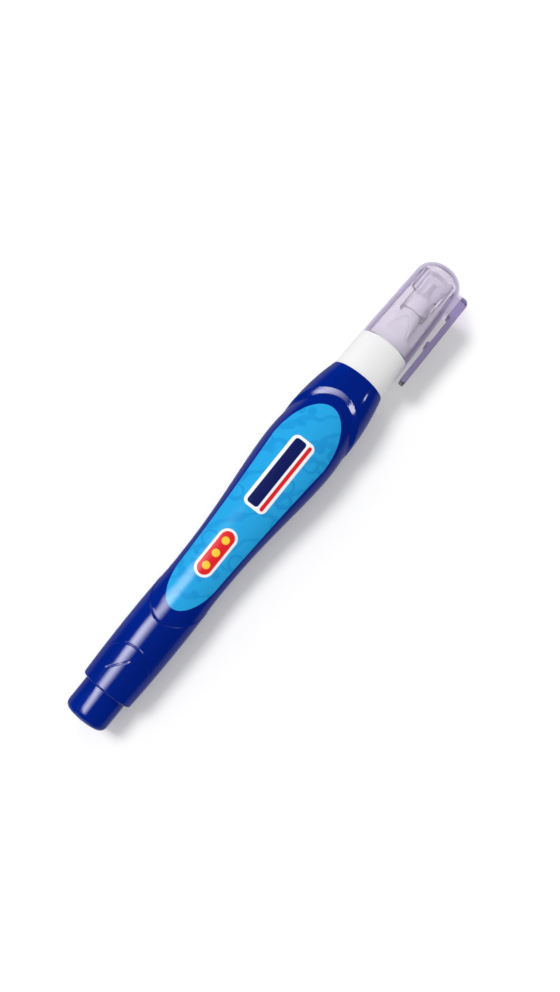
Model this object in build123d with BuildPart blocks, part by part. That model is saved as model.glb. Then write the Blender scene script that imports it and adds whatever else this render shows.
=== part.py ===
"""Correction pen: a squeeze barrel with a scalloped panel, a spring valve in a white collar, and a clip cap.

Millimetres. The pen lies on its back panel with its axis along X, cap towards +X, label up (+Z) and clip
towards -Y. The origin is on the resting surface, under the middle of the pen. Stations are measured along the
axis from the tail end.
"""
import os
from math import asin, cos, degrees, pi, sin

from build123d import *

# Fits between pieces
press_fit = 0.02
cap_fit = 0.06
valve_fit = 0.06
seal_clearance = 0.15
seat_gap = 0.05
rim_gap = 0.1
cut_overrun = 1.0

# Tail plug
stub_length = 8.0
stub_edge_round = 1.6
spigot_length = 6.0
plug_wall = 1.0

# Barrel shell, round at both ends
barrel_length = 91.4
barrel_rear_radius = 6.5
barrel_swell_radius = 6.93
barrel_swell_from_rear = 18.0
barrel_edge_round = 0.5
shoulder_radius = 8.95
shoulder_to_mouth = 14.4
mouth_radius = 7.08
barrel_wall = 0.9
rear_bore_step = 0.23

# Barrel panel, oval in section, from the waist to the bulge
waist_from_rear = 30.0
waist_half_width = 6.63
waist_half_depth = 6.13
bulge_to_mouth = 21.1
bulge_half_width = 9.1
bulge_half_depth = 8.42
dip_to_mouth = 16.2
dip_below_shoulder = 0.23
dip_below_bulge = 0.17
panel_rear_below_swell = 0.38
panel_rear_above_waist = 0.42
panel_front_below_shoulder = 1.35
panel_front_below_bulge = 1.07
panel_lap = 1.5
rest_flat_depth = 0.15
swell_shares = (0.25, 0.5, 0.75)
swell_late_share = 1.3

# Scallops that end the round shell at each end of the panel
rear_arch_from_rear = 19.1
rear_cusp_from_rear = 27.3
rear_cusp_radius = 6.8
front_arch_to_mouth = 6.05
front_cusp_to_mouth = 15.4

# Barrel neck, hidden in the collar
neck_length = 8.0
neck_radius = 5.55
neck_bore_radius = 4.5
neck_bead_height = 0.2
neck_bead_width = 0.8
neck_bead_to_end = 2.2
neck_end_gap = 0.2

# Label film
label_rear_from_rear = 23.2
label_front_to_mouth = 10.3
label_rear_end_length = 10.0
label_front_end_length = 12.6
label_rear_half_width = 5.3
label_front_half_width = 7.3
label_side_sag = 0.2
label_thickness = 0.15
label_proud = 0.05

# Collar
skirt_top_wall = 1.9
skirt_rear_radius = 7.0
skirt_front_radius = 6.75
seat_radius = 5.4
seat_length = 3.5
seat_edge = 0.3
cone_base_radius = 4.2
cone_top_radius = 2.65
cone_length = 7.3
cone_flat_to_axis = 3.0
nose_radius = 2.55
nose_length = 4.4
valve_bore_radius = 3.3
valve_bore_spare = 1.5
chamber_clearance = 0.3
chamber_taper_length = 0.6

# Metal tip
shank_radius = 1.35
shank_length = 6.8
shank_bore_radius = 0.75
ferrule_radius = 2.2
ferrule_length = 2.2
nozzle_radius = 0.75
nozzle_length = 2.8
nozzle_edge_round = 0.15
orifice_length = 1.6

# Needle valve
needle_radius = 0.36
needle_showing = 0.4
needle_grip = 2.4
stem_flange_radius = 2.1
stem_flange_length = 1.2
stem_nose_length = 1.9
stem_nose_radius = 1.05
stem_rod_radius = 1.0
stem_rod_in_seat = 1.5
spring_seat_thickness = 2.9
flow_hole_radius = 0.5
flow_hole_circle_radius = 2.25
flow_hole_count = 6
spring_wire_radius = 0.18
spring_mean_radius = 1.6
spring_turns = 4

# Mixing ball
ball_radius = 2.5
ball_clearance = 0.2
ball_from_plug = 8.0

# Cap with its clip
dome_space = 2.1
cap_rim_radius = 6.72
cap_crown_radius = 6.03
cap_dome_height = 4.55
cap_wall = 1.2
cap_dome_wall = 1.6
dome_handle_share = 0.552
cap_relief_length = 0.5
fin_thickness = 0.8
fin_length = 5.6
fin_into_dome = 0.4
fin_angles = (45, 135)
clip_reach = 9.1
clip_thickness = 1.5
clip_width = 4.2
clip_below_apex = 3.85
clip_length = 25.5
clip_root_length = 5.75
clip_corner_round = 1.4
clip_edge_round = 0.35
clip_rib_radius = 0.6
clip_rib_to_tip = 11.1

# Cap seal
seal_outer_radius = 3.45
seal_top_thickness = 0.85
seal_headroom = 0.35

# Stations along the axis
barrel_rear = stub_length
barrel_mouth = barrel_rear + barrel_length
neck_end = barrel_mouth + neck_length
socket_end = neck_end + neck_end_gap
cap_rim = socket_end + skirt_top_wall
seat_end = cap_rim + seat_length
cone_end = seat_end + cone_length
nose_end = cone_end + nose_length
ferrule_end = nose_end + ferrule_length
tip_end = ferrule_end + nozzle_length
needle_end = tip_end + needle_showing
seal_ceiling = needle_end + seal_headroom
seal_top = seal_ceiling + seal_top_thickness
cap_apex = seal_top + dome_space + cap_dome_wall
dome_base = cap_apex - cap_dome_height
waist = barrel_rear + waist_from_rear
bulge = barrel_mouth - bulge_to_mouth
rear_arch = barrel_rear + rear_arch_from_rear
rear_cusp = barrel_rear + rear_cusp_from_rear
front_arch = barrel_mouth - front_arch_to_mouth
front_cusp = barrel_mouth - front_cusp_to_mouth

# Stations of the valve, from the collar's inner end forward
spring_seat_front = socket_end + spring_seat_thickness
valve_bore_end = spring_seat_front + valve_bore_spare
shank_rear = nose_end - shank_length
stem_front = shank_rear - seat_gap
flange_front = stem_front - stem_nose_length
flange_rear = flange_front - stem_flange_length

# Radii that follow from the fits; the round rear bore runs a step inside the panel's hollow at the waist
rear_bore_radius = waist_half_depth - barrel_wall - rear_bore_step
chamber_radius = stem_flange_radius + chamber_clearance
needle_hole_radius = needle_radius + valve_fit
seal_bore_radius = nose_radius + seal_clearance
cap_bore_radius = seat_radius + cap_fit

# Planes: the profile plane has the station along x and the radius up; the clip's plane points its y at -Y
axis_height = bulge_half_depth - rest_flat_depth
tail_end = Vector(-cap_apex / 2, 0, axis_height)
profile_plane = Plane(origin=tail_end, x_dir=(1, 0, 0), z_dir=(0, -1, 0))
top_plane = Plane(origin=tail_end, x_dir=(1, 0, 0), z_dir=(0, 0, 1))
clip_plane = Plane(origin=tail_end, x_dir=(1, 0, 0), z_dir=(0, 0, -1))
pen_axis = Axis(tail_end, (1, 0, 0))


def section_plane(station):
    """Return the plane square to the pen's axis at a station, with x to +Y and y up."""
    return Plane(origin=tail_end + Vector(station, 0, 0), x_dir=(0, 1, 0), z_dir=(1, 0, 0))


def swell_section(share):
    """Return station, half width and half depth at a share of the way from the waist to the bulge."""
    late = share**swell_late_share
    blend = late * late * (3 - 2 * late)
    return (
        waist + share * (bulge - waist),
        waist_half_width + blend * (bulge_half_width - waist_half_width),
        waist_half_depth + blend * (bulge_half_depth - waist_half_depth),
    )


panel_sizes = [
    (
        rear_arch - panel_lap,
        barrel_swell_radius - panel_rear_below_swell,
        waist_half_depth + panel_rear_above_waist,
    ),
    (waist, waist_half_width, waist_half_depth),
    *(swell_section(share) for share in swell_shares),
    (bulge, bulge_half_width, bulge_half_depth),
    (
        barrel_mouth - dip_to_mouth,
        shoulder_radius - dip_below_shoulder,
        bulge_half_depth - dip_below_bulge,
    ),
    (
        front_arch + panel_lap,
        shoulder_radius - panel_front_below_shoulder,
        bulge_half_depth - panel_front_below_bulge,
    ),
]

# The hollow follows the panel from the waist on
hollow_sizes = panel_sizes[1:]


def oval_faces(sizes, growth):
    """Return oval sections, grown outwards by one distance, each with a narrow flat at the back to rest on."""
    faces = []
    for station, half_width, half_depth in sizes:
        radii = (half_width + growth, half_depth + growth)
        flat_angle = degrees(asin(1 - rest_flat_depth / radii[1]))
        with BuildSketch(section_plane(station)) as oval:
            with BuildLine():
                EllipticalCenterArc((0, 0), *radii, start_angle=0, arc_size=180)
                left = EllipticalCenterArc((0, 0), *radii, start_angle=180, arc_size=flat_angle)
                right = EllipticalCenterArc((0, 0), *radii, start_angle=-flat_angle, arc_size=flat_angle)
                Line(left @ 1, right @ 0)
            make_face()
        faces.append(oval.sketch.face())
    return faces


def label_face(gap):
    """Return the label's egg outline in the top view, drawn in by a gap."""
    rear_center = barrel_rear + label_rear_from_rear + label_rear_end_length
    front_center = barrel_mouth - label_front_to_mouth - label_front_end_length
    rear_half = label_rear_half_width - gap
    front_half = label_front_half_width - gap
    middle = ((rear_center + front_center) / 2, (rear_half + front_half) / 2 - label_side_sag)
    with BuildSketch(top_plane) as outline:
        with BuildLine():
            EllipticalCenterArc(
                (front_center, 0), label_front_end_length - gap, front_half, start_angle=-90, arc_size=180
            )
            EllipticalCenterArc(
                (rear_center, 0), label_rear_end_length - gap, rear_half, start_angle=90, arc_size=180
            )
            for side in (1, -1):
                ThreePointArc(
                    (rear_center, side * rear_half),
                    (middle[0], side * middle[1]),
                    (front_center, side * front_half),
                )
        make_face()
    return outline.sketch.face()


os.makedirs("parts", exist_ok=True)

# Tail plug: a closed stub that the cap can be posted on, and a hollow spigot in the barrel's rear bore
with BuildPart() as tail_plug:
    with BuildSketch(profile_plane):
        with BuildLine():
            Polyline(
                (0, 0),
                (0, seat_radius),
                (barrel_rear, seat_radius),
                (barrel_rear, rear_bore_radius - press_fit),
                (barrel_rear + spigot_length, rear_bore_radius - press_fit),
                (barrel_rear + spigot_length, rear_bore_radius - plug_wall),
                (barrel_rear, rear_bore_radius - plug_wall),
                (barrel_rear, 0),
                close=True,
            )
        make_face()
    revolve(axis=pen_axis)
    fillet(tail_plug.edges().filter_by(GeomType.CIRCLE).sort_by(Axis.X)[0], stub_edge_round)
tail_plug.part.label = "tail_plug"
export_step(tail_plug.part, "parts/tail_plug.step")

# Space that the label takes in the front panel
with BuildPart() as label_pocket:
    loft(oval_faces(panel_sizes, cut_overrun))
    loft(oval_faces(panel_sizes, label_proud - label_thickness), mode=Mode.SUBTRACT)
    extrude(label_face(0), amount=bulge_half_depth + cut_overrun, mode=Mode.INTERSECT)

# Barrel: two round shells cut to scallops, the oval panel between them, a neck, and the hollow for the fluid
with BuildPart() as barrel:
    with BuildSketch(profile_plane):
        with BuildLine():
            ThreePointArc(
                (barrel_rear, barrel_rear_radius),
                (barrel_rear + barrel_swell_from_rear, barrel_swell_radius),
                (rear_cusp, rear_cusp_radius),
            )
            Polyline(
                (rear_cusp, rear_cusp_radius),
                (rear_cusp, 0),
                (barrel_rear, 0),
                (barrel_rear, barrel_rear_radius),
            )
        make_face()
        with BuildLine():
            shoulder = (barrel_mouth - shoulder_to_mouth, shoulder_radius)
            Line((front_cusp, shoulder_radius), shoulder)
            TangentArc(shoulder, (barrel_mouth, mouth_radius), tangent=(1, 0))
            Polyline(
                (barrel_mouth, mouth_radius),
                (barrel_mouth, 0),
                (front_cusp, 0),
                (front_cusp, shoulder_radius),
            )
        make_face()
    revolve(axis=pen_axis)
    fillet(barrel.edges().filter_by(GeomType.CIRCLE).sort_by(Axis.X)[0], barrel_edge_round)
    scallop_height = shoulder_radius + cut_overrun
    with BuildSketch(profile_plane):
        for cusp, arch, arch_radius in (
            (rear_cusp, rear_arch, barrel_swell_radius),
            (front_cusp, front_arch, bulge_half_depth),
        ):
            for side in (1, -1):
                with BuildLine():
                    Polyline(
                        (cusp, 0),
                        (cusp, side * scallop_height),
                        (cusp + (arch - cusp) * scallop_height / arch_radius, side * scallop_height),
                        close=True,
                    )
                make_face()
    extrude(amount=scallop_height, both=True, mode=Mode.SUBTRACT)
    loft(oval_faces(panel_sizes, 0))
    bead_middle = neck_end - neck_bead_to_end
    with BuildSketch(profile_plane):
        with BuildLine():
            Polyline(
                (barrel_mouth - cut_overrun, 0),
                (barrel_mouth - cut_overrun, neck_radius),
                (bead_middle - neck_bead_width / 2, neck_radius),
                (bead_middle, neck_radius + neck_bead_height),
                (bead_middle + neck_bead_width / 2, neck_radius),
                (neck_end, neck_radius),
                (neck_end, 0),
                close=True,
            )
        make_face()
    revolve(axis=pen_axis)
    loft(oval_faces(hollow_sizes, -barrel_wall), mode=Mode.SUBTRACT)
    with BuildSketch(profile_plane):
        with BuildLine():
            Polyline(
                (barrel_rear - cut_overrun, 0),
                (barrel_rear - cut_overrun, rear_bore_radius),
                (waist + cut_overrun, rear_bore_radius),
                (waist + cut_overrun, 0),
                close=True,
            )
        make_face()
        with BuildLine():
            Polyline(
                (front_arch, 0),
                (front_arch, neck_bore_radius + barrel_wall),
                (front_arch + panel_lap, neck_bore_radius + barrel_wall),
                (barrel_mouth, neck_bore_radius),
                (neck_end + cut_overrun, neck_bore_radius),
                (neck_end + cut_overrun, 0),
                close=True,
            )
        make_face()
    revolve(axis=pen_axis, mode=Mode.SUBTRACT)
    add(label_pocket.part, mode=Mode.SUBTRACT)
barrel.part.label = "barrel"
export_step(barrel.part, "parts/barrel.step")

# Label: a film let into the front panel and standing a little proud of it
with BuildPart() as front_label:
    loft(oval_faces(panel_sizes, label_proud))
    film_back = label_proud - label_thickness + press_fit
    loft(oval_faces(panel_sizes, film_back), mode=Mode.SUBTRACT)
    extrude(label_face(seat_gap), amount=bulge_half_depth + cut_overrun, mode=Mode.INTERSECT)
front_label.part.label = "front_label"
export_step(front_label.part, "parts/front_label.step")

# Collar: skirt over the barrel's neck, seat for the cap, cone with four flats, and the valve's bores
with BuildPart() as collar:
    with BuildSketch(profile_plane):
        with BuildLine():
            Polyline(
                (barrel_mouth, 0),
                (barrel_mouth, skirt_rear_radius),
                (cap_rim, skirt_front_radius),
                (cap_rim, seat_radius),
                (seat_end - seat_edge, seat_radius),
                (seat_end, seat_radius - seat_edge),
                (seat_end, cone_base_radius),
                (cone_end, cone_top_radius),
                (cone_end, nose_radius),
                (nose_end, nose_radius),
                (nose_end, 0),
                close=True,
            )
        make_face()
    revolve(axis=pen_axis)
    with BuildSketch(section_plane(seat_end)):
        Rectangle(2 * seat_radius, 2 * seat_radius)
        Rectangle(2 * cone_flat_to_axis, 2 * cone_flat_to_axis, mode=Mode.SUBTRACT)
    extrude(amount=cone_length, mode=Mode.SUBTRACT)
    socket_radius = neck_radius + press_fit
    with BuildSketch(profile_plane):
        with BuildLine():
            Polyline(
                (barrel_mouth - cut_overrun, 0),
                (barrel_mouth - cut_overrun, socket_radius),
                (bead_middle - neck_bead_width / 2, socket_radius),
                (bead_middle, socket_radius + neck_bead_height),
                (bead_middle + neck_bead_width / 2, socket_radius),
                (socket_end, socket_radius),
                (socket_end, valve_bore_radius),
                (valve_bore_end, valve_bore_radius),
                (valve_bore_end, chamber_radius),
                (shank_rear - chamber_taper_length, chamber_radius),
                (shank_rear, shank_radius + press_fit),
                (nose_end + cut_overrun, shank_radius + press_fit),
                (nose_end + cut_overrun, 0),
                close=True,
            )
        make_face()
    revolve(axis=pen_axis, mode=Mode.SUBTRACT)
collar.part.label = "collar"
export_step(collar.part, "parts/collar.step")

# Metal tip: shank in the nose, tapered ferrule against its end, slim nozzle with a fine orifice
with BuildPart() as metal_tip:
    with BuildSketch(profile_plane):
        with BuildLine():
            Polyline(
                (shank_rear, shank_bore_radius),
                (shank_rear, shank_radius),
                (nose_end, shank_radius),
                (nose_end, ferrule_radius),
                (ferrule_end, nozzle_radius),
                (tip_end, nozzle_radius),
                (tip_end, needle_hole_radius),
                (tip_end - orifice_length, needle_hole_radius),
                (nose_end, shank_bore_radius),
                close=True,
            )
        make_face()
    revolve(axis=pen_axis)
    tip_rim = metal_tip.edges().filter_by(GeomType.CIRCLE).group_by(Axis.X)[-1].sort_by(SortBy.RADIUS)[-1]
    fillet(tip_rim, nozzle_edge_round)
metal_tip.part.label = "metal_tip"
export_step(metal_tip.part, "parts/metal_tip.step")

# Valve needle: a straight wire with a round point
with BuildPart() as valve_needle:
    with BuildSketch(profile_plane):
        with BuildLine():
            Polyline(
                (needle_end, 0),
                (stem_front - needle_grip, 0),
                (stem_front - needle_grip, needle_radius),
                (needle_end - needle_radius, needle_radius),
            )
            TangentArc((needle_end - needle_radius, needle_radius), (needle_end, 0), tangent=(1, 0))
        make_face()
    revolve(axis=pen_axis)
valve_needle.part.label = "valve_needle"
export_step(valve_needle.part, "parts/valve_needle.step")

# Needle stem: guide rod, spring flange and sealing nose, bored for the needle
with BuildPart() as needle_stem:
    with BuildSketch(profile_plane):
        with BuildLine():
            Polyline(
                (spring_seat_front - stem_rod_in_seat, 0),
                (spring_seat_front - stem_rod_in_seat, stem_rod_radius),
                (flange_rear, stem_rod_radius),
                (flange_rear, stem_flange_radius),
                (flange_front, stem_flange_radius),
                (stem_front, stem_nose_radius),
                (stem_front, needle_radius + press_fit),
                (stem_front - needle_grip - press_fit, needle_radius + press_fit),
                (stem_front - needle_grip - press_fit, 0),
                close=True,
            )
        make_face()
    revolve(axis=pen_axis)
needle_stem.part.label = "needle_stem"
export_step(needle_stem.part, "parts/needle_stem.step")

# Spring seat: a pressed-in disc with a guide hole for the rod and a ring of flow holes
with BuildPart() as spring_seat:
    with BuildSketch(section_plane(socket_end)):
        Circle(valve_bore_radius - press_fit)
        Circle(stem_rod_radius + valve_fit, mode=Mode.SUBTRACT)
        with PolarLocations(flow_hole_circle_radius, flow_hole_count):
            Circle(flow_hole_radius, mode=Mode.SUBTRACT)
    extrude(amount=spring_seat_thickness)
spring_seat.part.label = "spring_seat"
export_step(spring_seat.part, "parts/spring_seat.step")

# Valve spring: an open coil between the spring seat and the stem's flange, a pair of arcs to each quarter turn
spring_start = spring_seat_front + spring_wire_radius + seat_gap
spring_rise = flange_rear - spring_wire_radius - seat_gap - spring_start
spring_lead = spring_rise / spring_turns
quarter_count = 4 * spring_turns


def spring_point(turn):
    """Return the point on the coil's centre line after a number of turns."""
    angle = 2 * pi * turn
    around = Vector(0, spring_mean_radius * cos(angle), spring_mean_radius * sin(angle))
    return tail_end + Vector(spring_start + spring_lead * turn, 0, 0) + around


def spring_heading(turn):
    """Return the coil's direction of travel after a number of turns."""
    angle = 2 * pi * turn
    round_rate = 2 * pi * spring_mean_radius
    return Vector(spring_lead, -round_rate * sin(angle), round_rate * cos(angle)).normalized()


def arc_joint(first, first_heading, last, last_heading):
    """Return the point where two equal-handled arcs between two headings meet, and their heading there."""
    chord = last - first
    both = first_heading + last_heading
    square = 2 * (1 - first_heading.dot(last_heading))
    along = chord.dot(both)
    handle = (-along + (along * along + square * chord.dot(chord)) ** 0.5) / square
    near = first + first_heading * handle
    far = last - last_heading * handle
    return (near + far) / 2, (far - near).normalized()


with BuildPart() as valve_spring:
    with BuildLine() as coil:
        for quarter in range(quarter_count):
            start_turn, end_turn = quarter / 4, (quarter + 1) / 4
            first, last = spring_point(start_turn), spring_point(end_turn)
            joint, joint_heading = arc_joint(first, spring_heading(start_turn), last, spring_heading(end_turn))
            TangentArc(first, joint, tangent=spring_heading(start_turn))
            TangentArc(joint, last, tangent=joint_heading)
    with BuildSketch(Plane(origin=spring_point(0), z_dir=spring_heading(0))):
        Circle(spring_wire_radius)
    sweep()
valve_spring.part.label = "valve_spring"
export_step(valve_spring.part, "parts/valve_spring.step")

# The least gap between neighbouring turns, measured on points along the coil
coil_points = [spring_point(step / quarter_count) for step in range(quarter_count * spring_turns + 1)]
turn_gap = min(
    (coil_points[late] - coil_points[early]).length - 2 * spring_wire_radius
    for early in range(len(coil_points))
    for late in range(early + quarter_count // 2, len(coil_points))
)
print(f"least gap between the spring's turns: {turn_gap:.3f} mm")

# Mixing ball, resting on the floor of the rear bore
ball_center = tail_end + Vector(
    barrel_rear + spigot_length + ball_from_plug + ball_radius,
    0,
    ball_radius + ball_clearance - rear_bore_radius,
)
with BuildPart() as mixing_ball:
    with Locations(ball_center):
        Sphere(ball_radius)
mixing_ball.part.label = "mixing_ball"
export_step(mixing_ball.part, "parts/mixing_ball.step")

# Cap: tapered tube with a dome, fins that hold the seal, and a clip with a gripping rib
clip_top = cap_apex - clip_below_apex
clip_tip = clip_top - clip_length
clip_inner = clip_reach - clip_thickness
cap_start = cap_rim + rim_gap
bore_end = seat_end + cap_relief_length
inner_crown_radius = cap_crown_radius - cap_wall


def dome_handles(height, radius):
    """Return the four points of a curve from the dome's base to its apex, close to a quarter ellipse."""
    return (
        (dome_base, radius),
        (dome_base + height * dome_handle_share, radius),
        (dome_base + height, radius * dome_handle_share),
        (dome_base + height, 0),
    )


with BuildPart() as cap:
    with BuildSketch(profile_plane):
        with BuildLine():
            Polyline(
                (cap_apex, 0), (cap_start, 0), (cap_start, cap_rim_radius), (dome_base, cap_crown_radius)
            )
            Bezier(*dome_handles(cap_dome_height, cap_crown_radius))
        make_face()
    revolve(axis=pen_axis)
    with BuildSketch(clip_plane) as clip_outline:
        with BuildLine():
            Polyline(
                (clip_top, 0),
                (clip_top, clip_reach),
                (clip_tip, clip_reach),
                (clip_tip, clip_inner),
                (clip_top - clip_root_length, clip_inner),
                (clip_top - clip_root_length, 0),
                close=True,
            )
        make_face()
        tip_corners = clip_outline.vertices().sort_by(Axis.X)[:2]
        fillet(tip_corners, clip_thickness / 2 - clip_edge_round / 2)
        top_corner = clip_outline.vertices().group_by(Axis.Y)[-1].sort_by(Axis.X)[-1]
        fillet(top_corner, clip_corner_round)
        with Locations((clip_tip + clip_rib_to_tip, clip_inner)):
            Circle(clip_rib_radius)
    extrude(amount=clip_width / 2, both=True)
    fillet(cap.edges().filter_by(Axis.X).group_by(Axis.Y)[0], clip_edge_round)
    with BuildSketch(profile_plane):
        with BuildLine():
            Polyline(
                (cap_apex - cap_dome_wall, 0),
                (cap_start - cut_overrun, 0),
                (cap_start - cut_overrun, cap_bore_radius),
                (bore_end, cap_bore_radius),
                (dome_base, inner_crown_radius),
            )
            Bezier(*dome_handles(cap_dome_height - cap_dome_wall, inner_crown_radius))
        make_face()
    revolve(axis=pen_axis, mode=Mode.SUBTRACT)
    with BuildSketch(section_plane(dome_base - fin_length)):
        for angle in fin_angles:
            Rectangle(2 * inner_crown_radius + cap_wall, fin_thickness, rotation=angle)
        Circle(seal_outer_radius + press_fit, mode=Mode.SUBTRACT)
    extrude(amount=fin_length + fin_into_dome)
cap.part.label = "cap"
export_step(cap.part, "parts/cap.step")

# Cap seal: a soft closed sleeve between the fins that slips over the nose
seal_start = cone_end + rim_gap
with BuildPart() as cap_seal:
    with BuildSketch(profile_plane):
        with BuildLine():
            Polyline(
                (seal_start, seal_bore_radius),
                (seal_start, seal_outer_radius),
                (seal_top, seal_outer_radius),
                (seal_top, 0),
                (seal_ceiling, 0),
                (seal_ceiling, seal_bore_radius),
                close=True,
            )
        make_face()
    revolve(axis=pen_axis)
cap_seal.part.label = "cap_seal"
export_step(cap_seal.part, "parts/cap_seal.step")
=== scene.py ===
"""Correction pen: fine forms, finishes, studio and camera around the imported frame.

Metres. The pen lies on its back panel: axis along X, cap towards +X, label up (+Z) and clip towards -Y.
Places come from the frame's boxes; sizes are the fields of each sub-assembly's class.
"""

import logging
import math
from collections.abc import Iterator
from contextlib import contextmanager
from dataclasses import dataclass, field
from enum import Enum
from typing import Any

import bmesh
import bpy
import numpy as np
from bpy.types import Material, Mesh, Node, NodeSocket, NodeTree, Object, World
from mathutils import Matrix, Vector


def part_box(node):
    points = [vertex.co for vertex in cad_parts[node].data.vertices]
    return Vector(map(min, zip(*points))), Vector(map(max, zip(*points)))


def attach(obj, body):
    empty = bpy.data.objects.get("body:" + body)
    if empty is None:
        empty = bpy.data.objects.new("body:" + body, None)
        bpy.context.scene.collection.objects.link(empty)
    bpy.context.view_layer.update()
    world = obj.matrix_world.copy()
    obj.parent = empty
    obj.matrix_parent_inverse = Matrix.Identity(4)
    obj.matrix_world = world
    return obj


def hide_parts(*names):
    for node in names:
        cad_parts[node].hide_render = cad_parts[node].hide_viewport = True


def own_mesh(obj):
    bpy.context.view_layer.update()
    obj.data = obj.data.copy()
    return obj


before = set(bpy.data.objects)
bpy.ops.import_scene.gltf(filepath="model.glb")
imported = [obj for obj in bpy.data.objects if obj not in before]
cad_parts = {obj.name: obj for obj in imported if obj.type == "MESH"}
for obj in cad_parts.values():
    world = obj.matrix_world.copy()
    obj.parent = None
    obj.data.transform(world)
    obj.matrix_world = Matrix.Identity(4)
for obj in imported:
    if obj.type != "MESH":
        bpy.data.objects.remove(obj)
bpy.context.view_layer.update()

log = logging.getLogger("correction_pen")

Point = tuple[float, float]
Corner = tuple[float, float, float]
Colour = tuple[float, float, float, float]

MM = 0.001
TURN_STEPS = 160
ARC_STEPS = 6
MERGE_DISTANCE = 2e-7
SHARP_ANGLE = math.radians(32)
SOFT_ANGLE = math.radians(50)
SUN_LEAN = math.radians(28.5)


class Body(Enum):
    """The frame's bodies that dressed pieces ride on."""

    BARREL = "barrel"
    CAP = "cap"


class Slot(Enum):
    """The record's material slots."""

    BLUE = "blue_plastic"
    LABEL = "label_film"
    WHITE = "white_plastic"
    CLEAR = "clear_plastic"
    SEAL = "seal_plastic"
    VALVE = "valve_plastic"
    STEEL = "steel"


class Cut(Enum):
    """How one solid acts on another."""

    JOIN = "UNION"
    REMOVE = "DIFFERENCE"


def srgb(red: float, green: float, blue: float) -> Colour:
    """Return the linear colour of a screen colour.

    Args:
        red: Red from 0 to 255.
        green: Green from 0 to 255.
        blue: Blue from 0 to 255.

    Returns:
        The linear red, green, blue and a full alpha.
    """
    channels = []
    for value in (red, green, blue):
        share = value / 255
        channels.append(share / 12.92 if share <= 0.04045 else ((share + 0.055) / 1.055) ** 2.4)
    return (*channels, 1.0)


def eased(share: np.ndarray) -> np.ndarray:
    """Return shares eased in and out between 0 and 1."""
    part = np.clip(share, 0.0, 1.0)
    return part * part * (3 - 2 * part)


class NodeSheet:
    """A node tree with short calls for adding and joining its nodes."""

    def __init__(self, tree: NodeTree) -> None:
        """Keep the tree."""
        self.tree = tree

    def add(self, kind: str, inputs: dict[str, Any] | None = None, **settings: Any) -> Node:
        """Add a node.

        Args:
            kind: The node's type name.
            inputs: Sockets by name, each with a value or a socket that feeds it.
            **settings: Properties of the node itself.

        Returns:
            The new node.
        """
        node = self.tree.nodes.new(kind)
        for name, value in settings.items():
            setattr(node, name, value)
        for name, value in (inputs or {}).items():
            self.feed(node.inputs[name], value)
        return node

    def feed(self, socket: NodeSocket, source: Any) -> None:
        """Set a socket to a value, or link it to another socket.

        Args:
            socket: The socket to feed.
            source: A value, or the output socket to link.
        """
        if isinstance(source, NodeSocket):
            self.tree.links.new(source, socket)
        else:
            socket.default_value = source

    def math(self, operation: str, *operands: Any) -> NodeSocket:
        """Add a Math node.

        Args:
            operation: Its operation.
            *operands: One to three values or sockets.

        Returns:
            Its output.
        """
        node = self.add("ShaderNodeMath", operation=operation)
        for socket, operand in zip(node.inputs, operands):
            self.feed(socket, operand)
        return node.outputs[0]

    def vector(self, operation: str, *operands: Any) -> NodeSocket:
        """Add a Vector Math node.

        Args:
            operation: Its operation.
            *operands: Its vectors or sockets.

        Returns:
            Its vector, or the value of a length or a dot product.
        """
        node = self.add("ShaderNodeVectorMath", operation=operation)
        for socket, operand in zip(node.inputs, operands):
            self.feed(socket, operand)
        return node.outputs["Value" if operation in ("LENGTH", "DOT_PRODUCT") else "Vector"]

    def split(self, vector: Any) -> Any:
        """Return the X, Y and Z outputs of a vector."""
        return self.add("ShaderNodeSeparateXYZ", {"Vector": vector}).outputs

    def joined(self, x: Any = 0.0, y: Any = 0.0, z: Any = 0.0) -> NodeSocket:
        """Return the vector of three values."""
        return self.add("ShaderNodeCombineXYZ", {"X": x, "Y": y, "Z": z}).outputs["Vector"]

    def noise(self, vector: Any, scale: Any, detail: float, **more: float) -> NodeSocket:
        """Add a noise texture and return its level."""
        inputs = {"Vector": vector, "Scale": scale, "Detail": detail, **more}
        return self.add("ShaderNodeTexNoise", inputs).outputs["Fac"]

    def blend(self, factor: Any, first: Any, second: Any) -> NodeSocket:
        """Mix two colours.

        Args:
            factor: The second one's share.
            first: The first one.
            second: The second one.

        Returns:
            The mixed colour.
        """
        node = self.add("ShaderNodeMix", data_type="RGBA")
        for index, source in ((0, factor), (6, first), (7, second)):
            self.feed(node.inputs[index], source)
        return node.outputs[2]

    def mixed(self, factor: Any, first: Any, second: Any) -> NodeSocket:
        """Mix two shaders.

        Args:
            factor: The second one's share.
            first: The first one.
            second: The second one.

        Returns:
            The mixed shader.
        """
        node = self.add("ShaderNodeMixShader", {"Fac": factor})
        self.feed(node.inputs[1], first)
        self.feed(node.inputs[2], second)
        return node.outputs["Shader"]

    def ramp(self, value: Any, low: Any, high: Any, bottom: float = 0.0, top: float = 1.0) -> NodeSocket:
        """Carry a value smoothly from one range to another.

        Args:
            value: The value or socket to carry over.
            low: The value that gives bottom.
            high: The value that gives top.
            bottom: The result at low.
            top: The result at high.

        Returns:
            The output socket.
        """
        ranges = {"Value": value, "From Min": low, "From Max": high, "To Min": bottom, "To Max": top}
        return self.add("ShaderNodeMapRange", ranges, interpolation_type="SMOOTHSTEP").outputs["Result"]


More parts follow.
